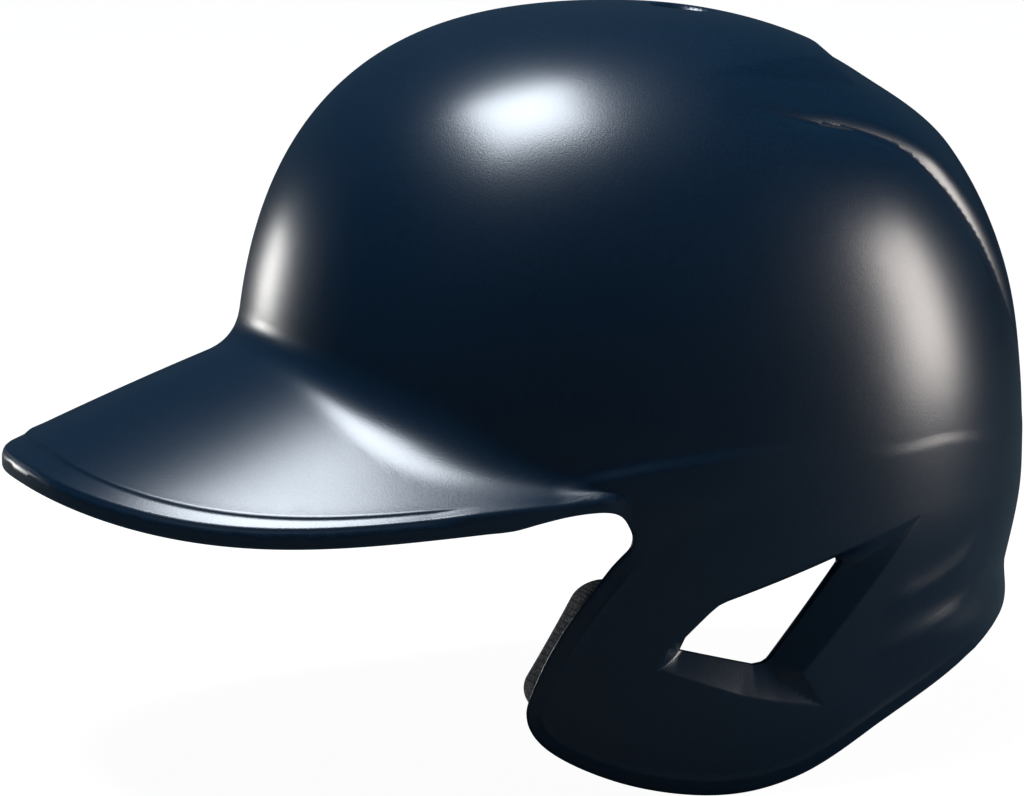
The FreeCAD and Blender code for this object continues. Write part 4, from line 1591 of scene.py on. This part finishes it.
def buildHookTape(name):
    pad = pads[name]
    (w, h), corner = pad["size"], pad["corner"]
    margin = hookTape["margin"]
    w, h = w - 2 * margin, h - 2 * margin
    corner = max(corner - margin, 2.0)
    count = 96
    rows = [(0.03, 1.0), (0.25, 1.0), (0.5, 1.0), (0.75, 1.0), (0.97, 1.0), (1.0, 0.9), (1.0, 0.1),
            (0.97, 0.0), (0.5, 0.0), (0.03, 0.0)]
    space = []
    for scale, level in rows:
        ring = roundedOutline(w, h, corner, count) * scale
        a, b = padPlane(pad, ring)
        space.append(onLayer(pad["side"], a, b, hookTape["start"] + hookTape["base"] * level))
    space = np.stack(space)
    n = len(rows)
    verts = np.vstack([space.reshape(-1, 3), space[0].mean(0), space[-1].mean(0)])
    faces = []
    for i in range(n - 1):
        for j in range(count):
            k = (j + 1) % count
            faces.append((i * count + j, i * count + k, (i + 1) * count + k, (i + 1) * count + j))
    for j in range(count):
        k = (j + 1) % count
        faces.append((n * count, k, j))
        faces.append((n * count + 1, (n - 1) * count + j, (n - 1) * count + k))
    piece = makeMesh(name + "_hooks", verts, faces)
    fixNormals(piece.data)
    piece.data.materials.append(materials["hook"])
    pitch, edge = hookTape["pitch"], hookTape["edge"]
    xs = np.arange(-w / 2 + edge, w / 2 - edge + 0.01, pitch)
    ys = np.arange(-h / 2 + edge, h / 2 - edge + 0.01, pitch)
    gx, gy = np.meshgrid(xs, ys)
    outside = (np.abs(gx) > w / 2 - corner) & (np.abs(gy) > h / 2 - corner) & (
        np.hypot(np.abs(gx) - w / 2 + corner, np.abs(gy) - h / 2 + corner) > corner - edge * 0.7)
    a, b = padPlane(pad, np.stack([gx, gy], -1))
    field = onLayer(pad["side"], a, b, hookTape["start"] + hookTape["base"])
    rowsN, colsN = gx.shape
    faces = []
    for i in range(rowsN - 1):
        for j in range(colsN - 1):
            ids = [i * colsN + j, i * colsN + j + 1, (i + 1) * colsN + j + 1, (i + 1) * colsN + j]
            if not outside.ravel()[ids].any():
                faces.append(ids)
    grid = makeMesh("hookGrid", field.reshape(-1, 3), faces)
    middle = field.reshape(-1, 3).mean(0)
    inward = -middle if pad["side"] != "top" else np.array([0, 0, -1.0])
    work = grid.data.polygons[len(grid.data.polygons) // 2].normal
    if np.dot(np.array(work), inward) < 0:
        grid.data.flip_normals()
    joinInto(piece, [grown(grid, trees["hook"], {"Material": materials["hook"]})])
    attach(piece, "helmet")
    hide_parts(name + "_hook_tape")
    return piece


# the camera, the floor and the light
stageForm = {
    "azimuth": 66.0, "elevation": 12.0, "distance": 1.5, "lens": 177.1, "aim": (-0.0297, -0.0191),
    "floor": 14.0, "paper": (1, 1, 1),
}

lamps = {
    "top": {"azimuth": -12, "elevation": 77.5, "distance": 1.25, "size": (0.66, 0.6), "power": 38,
            "tint": (0.88, 0.94, 1)},
    "strip": {"azimuth": -65, "elevation": -5, "distance": 1.4, "size": (0.26, 0.5), "power": 6.0,
              "tint": (1, 0.98, 0.95)},
    "rear": {"azimuth": 155, "elevation": 8, "distance": 1.4, "size": (0.46, 0.72), "power": 19,
             "tint": (1, 0.93, 0.88)},
}


def wayOf(azimuth, elevation):
    a, e = math.radians(azimuth), math.radians(elevation)
    return Vector((math.sin(a) * math.cos(e), -math.cos(a) * math.cos(e), math.sin(e)))


def buildStage():
    scene = bpy.context.scene
    scene.view_settings.view_transform = "Standard"
    scene.view_settings.gamma = 0.9
    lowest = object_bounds()[0][2]
    half = stageForm["floor"]
    square = np.array([(-half, -half, 0), (half, -half, 0), (half, half, 0), (-half, half, 0)])
    floor = makeMesh("floor", square + [0, 0, lowest - 0.0004], [(0, 1, 2, 3)], scale=1.0)
    material, tree, surface = startMaterial("paper", {"Roughness": 0.9, "Base Color": (0.55, 0.55, 0.56, 1)})
    glow = {"Color": (*stageForm["paper"], 1), "Strength": 1.08}
    bright = addNode(tree, "ShaderNodeEmission", sockets=glow)
    mix = addNode(tree, "ShaderNodeMixShader")
    path = addNode(tree, "ShaderNodeLightPath")
    output = tree.nodes["Material Output"]
    dark = addNode(tree, "ShaderNodeBsdfDiffuse", sockets={"Color": (0.06, 0.075, 0.08, 1)})
    hush = addNode(tree, "ShaderNodeMixShader")
    tree.links.new(path.outputs["Is Glossy Ray"], hush.inputs[0])
    tree.links.new(surface.outputs[0], hush.inputs[1])
    tree.links.new(dark.outputs[0], hush.inputs[2])
    tree.links.new(mathNode(tree, "MULTIPLY", path.outputs["Is Camera Ray"], 0.9), mix.inputs[0])
    tree.links.new(hush.outputs[0], mix.inputs[1])
    tree.links.new(bright.outputs[0], mix.inputs[2])
    tree.links.new(mix.outputs[0], output.inputs["Surface"])
    floor.data.materials.append(material)
    for name, lamp in lamps.items():
        light = bpy.data.lights.new(name, "AREA")
        light.shape = "RECTANGLE"
        light.size, light.size_y = lamp["size"]
        light.energy = lamp["power"]
        light.color = lamp["tint"]
        thing = bpy.data.objects.new(name + "_lamp", light)
        scene.collection.objects.link(thing)
        way = wayOf(lamp["azimuth"], lamp["elevation"])
        thing.location = way * lamp["distance"]
        thing.rotation_euler = way.to_track_quat("Z", "Y").to_euler()
        thing.visible_camera = False
    world = bpy.data.worlds.new("studio")
    scene.world = world
    world.use_nodes = True
    world.node_tree.nodes["Background"].inputs["Color"].default_value = (0.45, 0.75, 1.0, 1)
    world.node_tree.nodes["Background"].inputs["Strength"].default_value = 0.1
    camera = bpy.data.cameras.new("camera")
    camera.lens = stageForm["lens"]
    camera.sensor_width = 36.0
    view = bpy.data.objects.new("camera", camera)
    scene.collection.objects.link(view)
    back = wayOf(stageForm["azimuth"], stageForm["elevation"])
    right = Vector((-back.y, back.x, 0)).normalized()
    up = back.cross(right)
    aim = right * stageForm["aim"][0] + up * stageForm["aim"][1]
    view.location = aim + back * stageForm["distance"]
    view.rotation_euler = back.to_track_quat("Z", "Y").to_euler()
    scene.camera = view
    print("stage set")


buildShellPiece()
print("shell made")
buildLiner()
for name in pads:
    buildPad(name)
print("pads made")
for name in padForm["taped"]:
    buildHookTape(name)
    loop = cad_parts[name + "_loop_tape"]
    for slotOf in loop.material_slots:
        slotOf.material = materials["loop"]
print("tapes made")
buildStage()
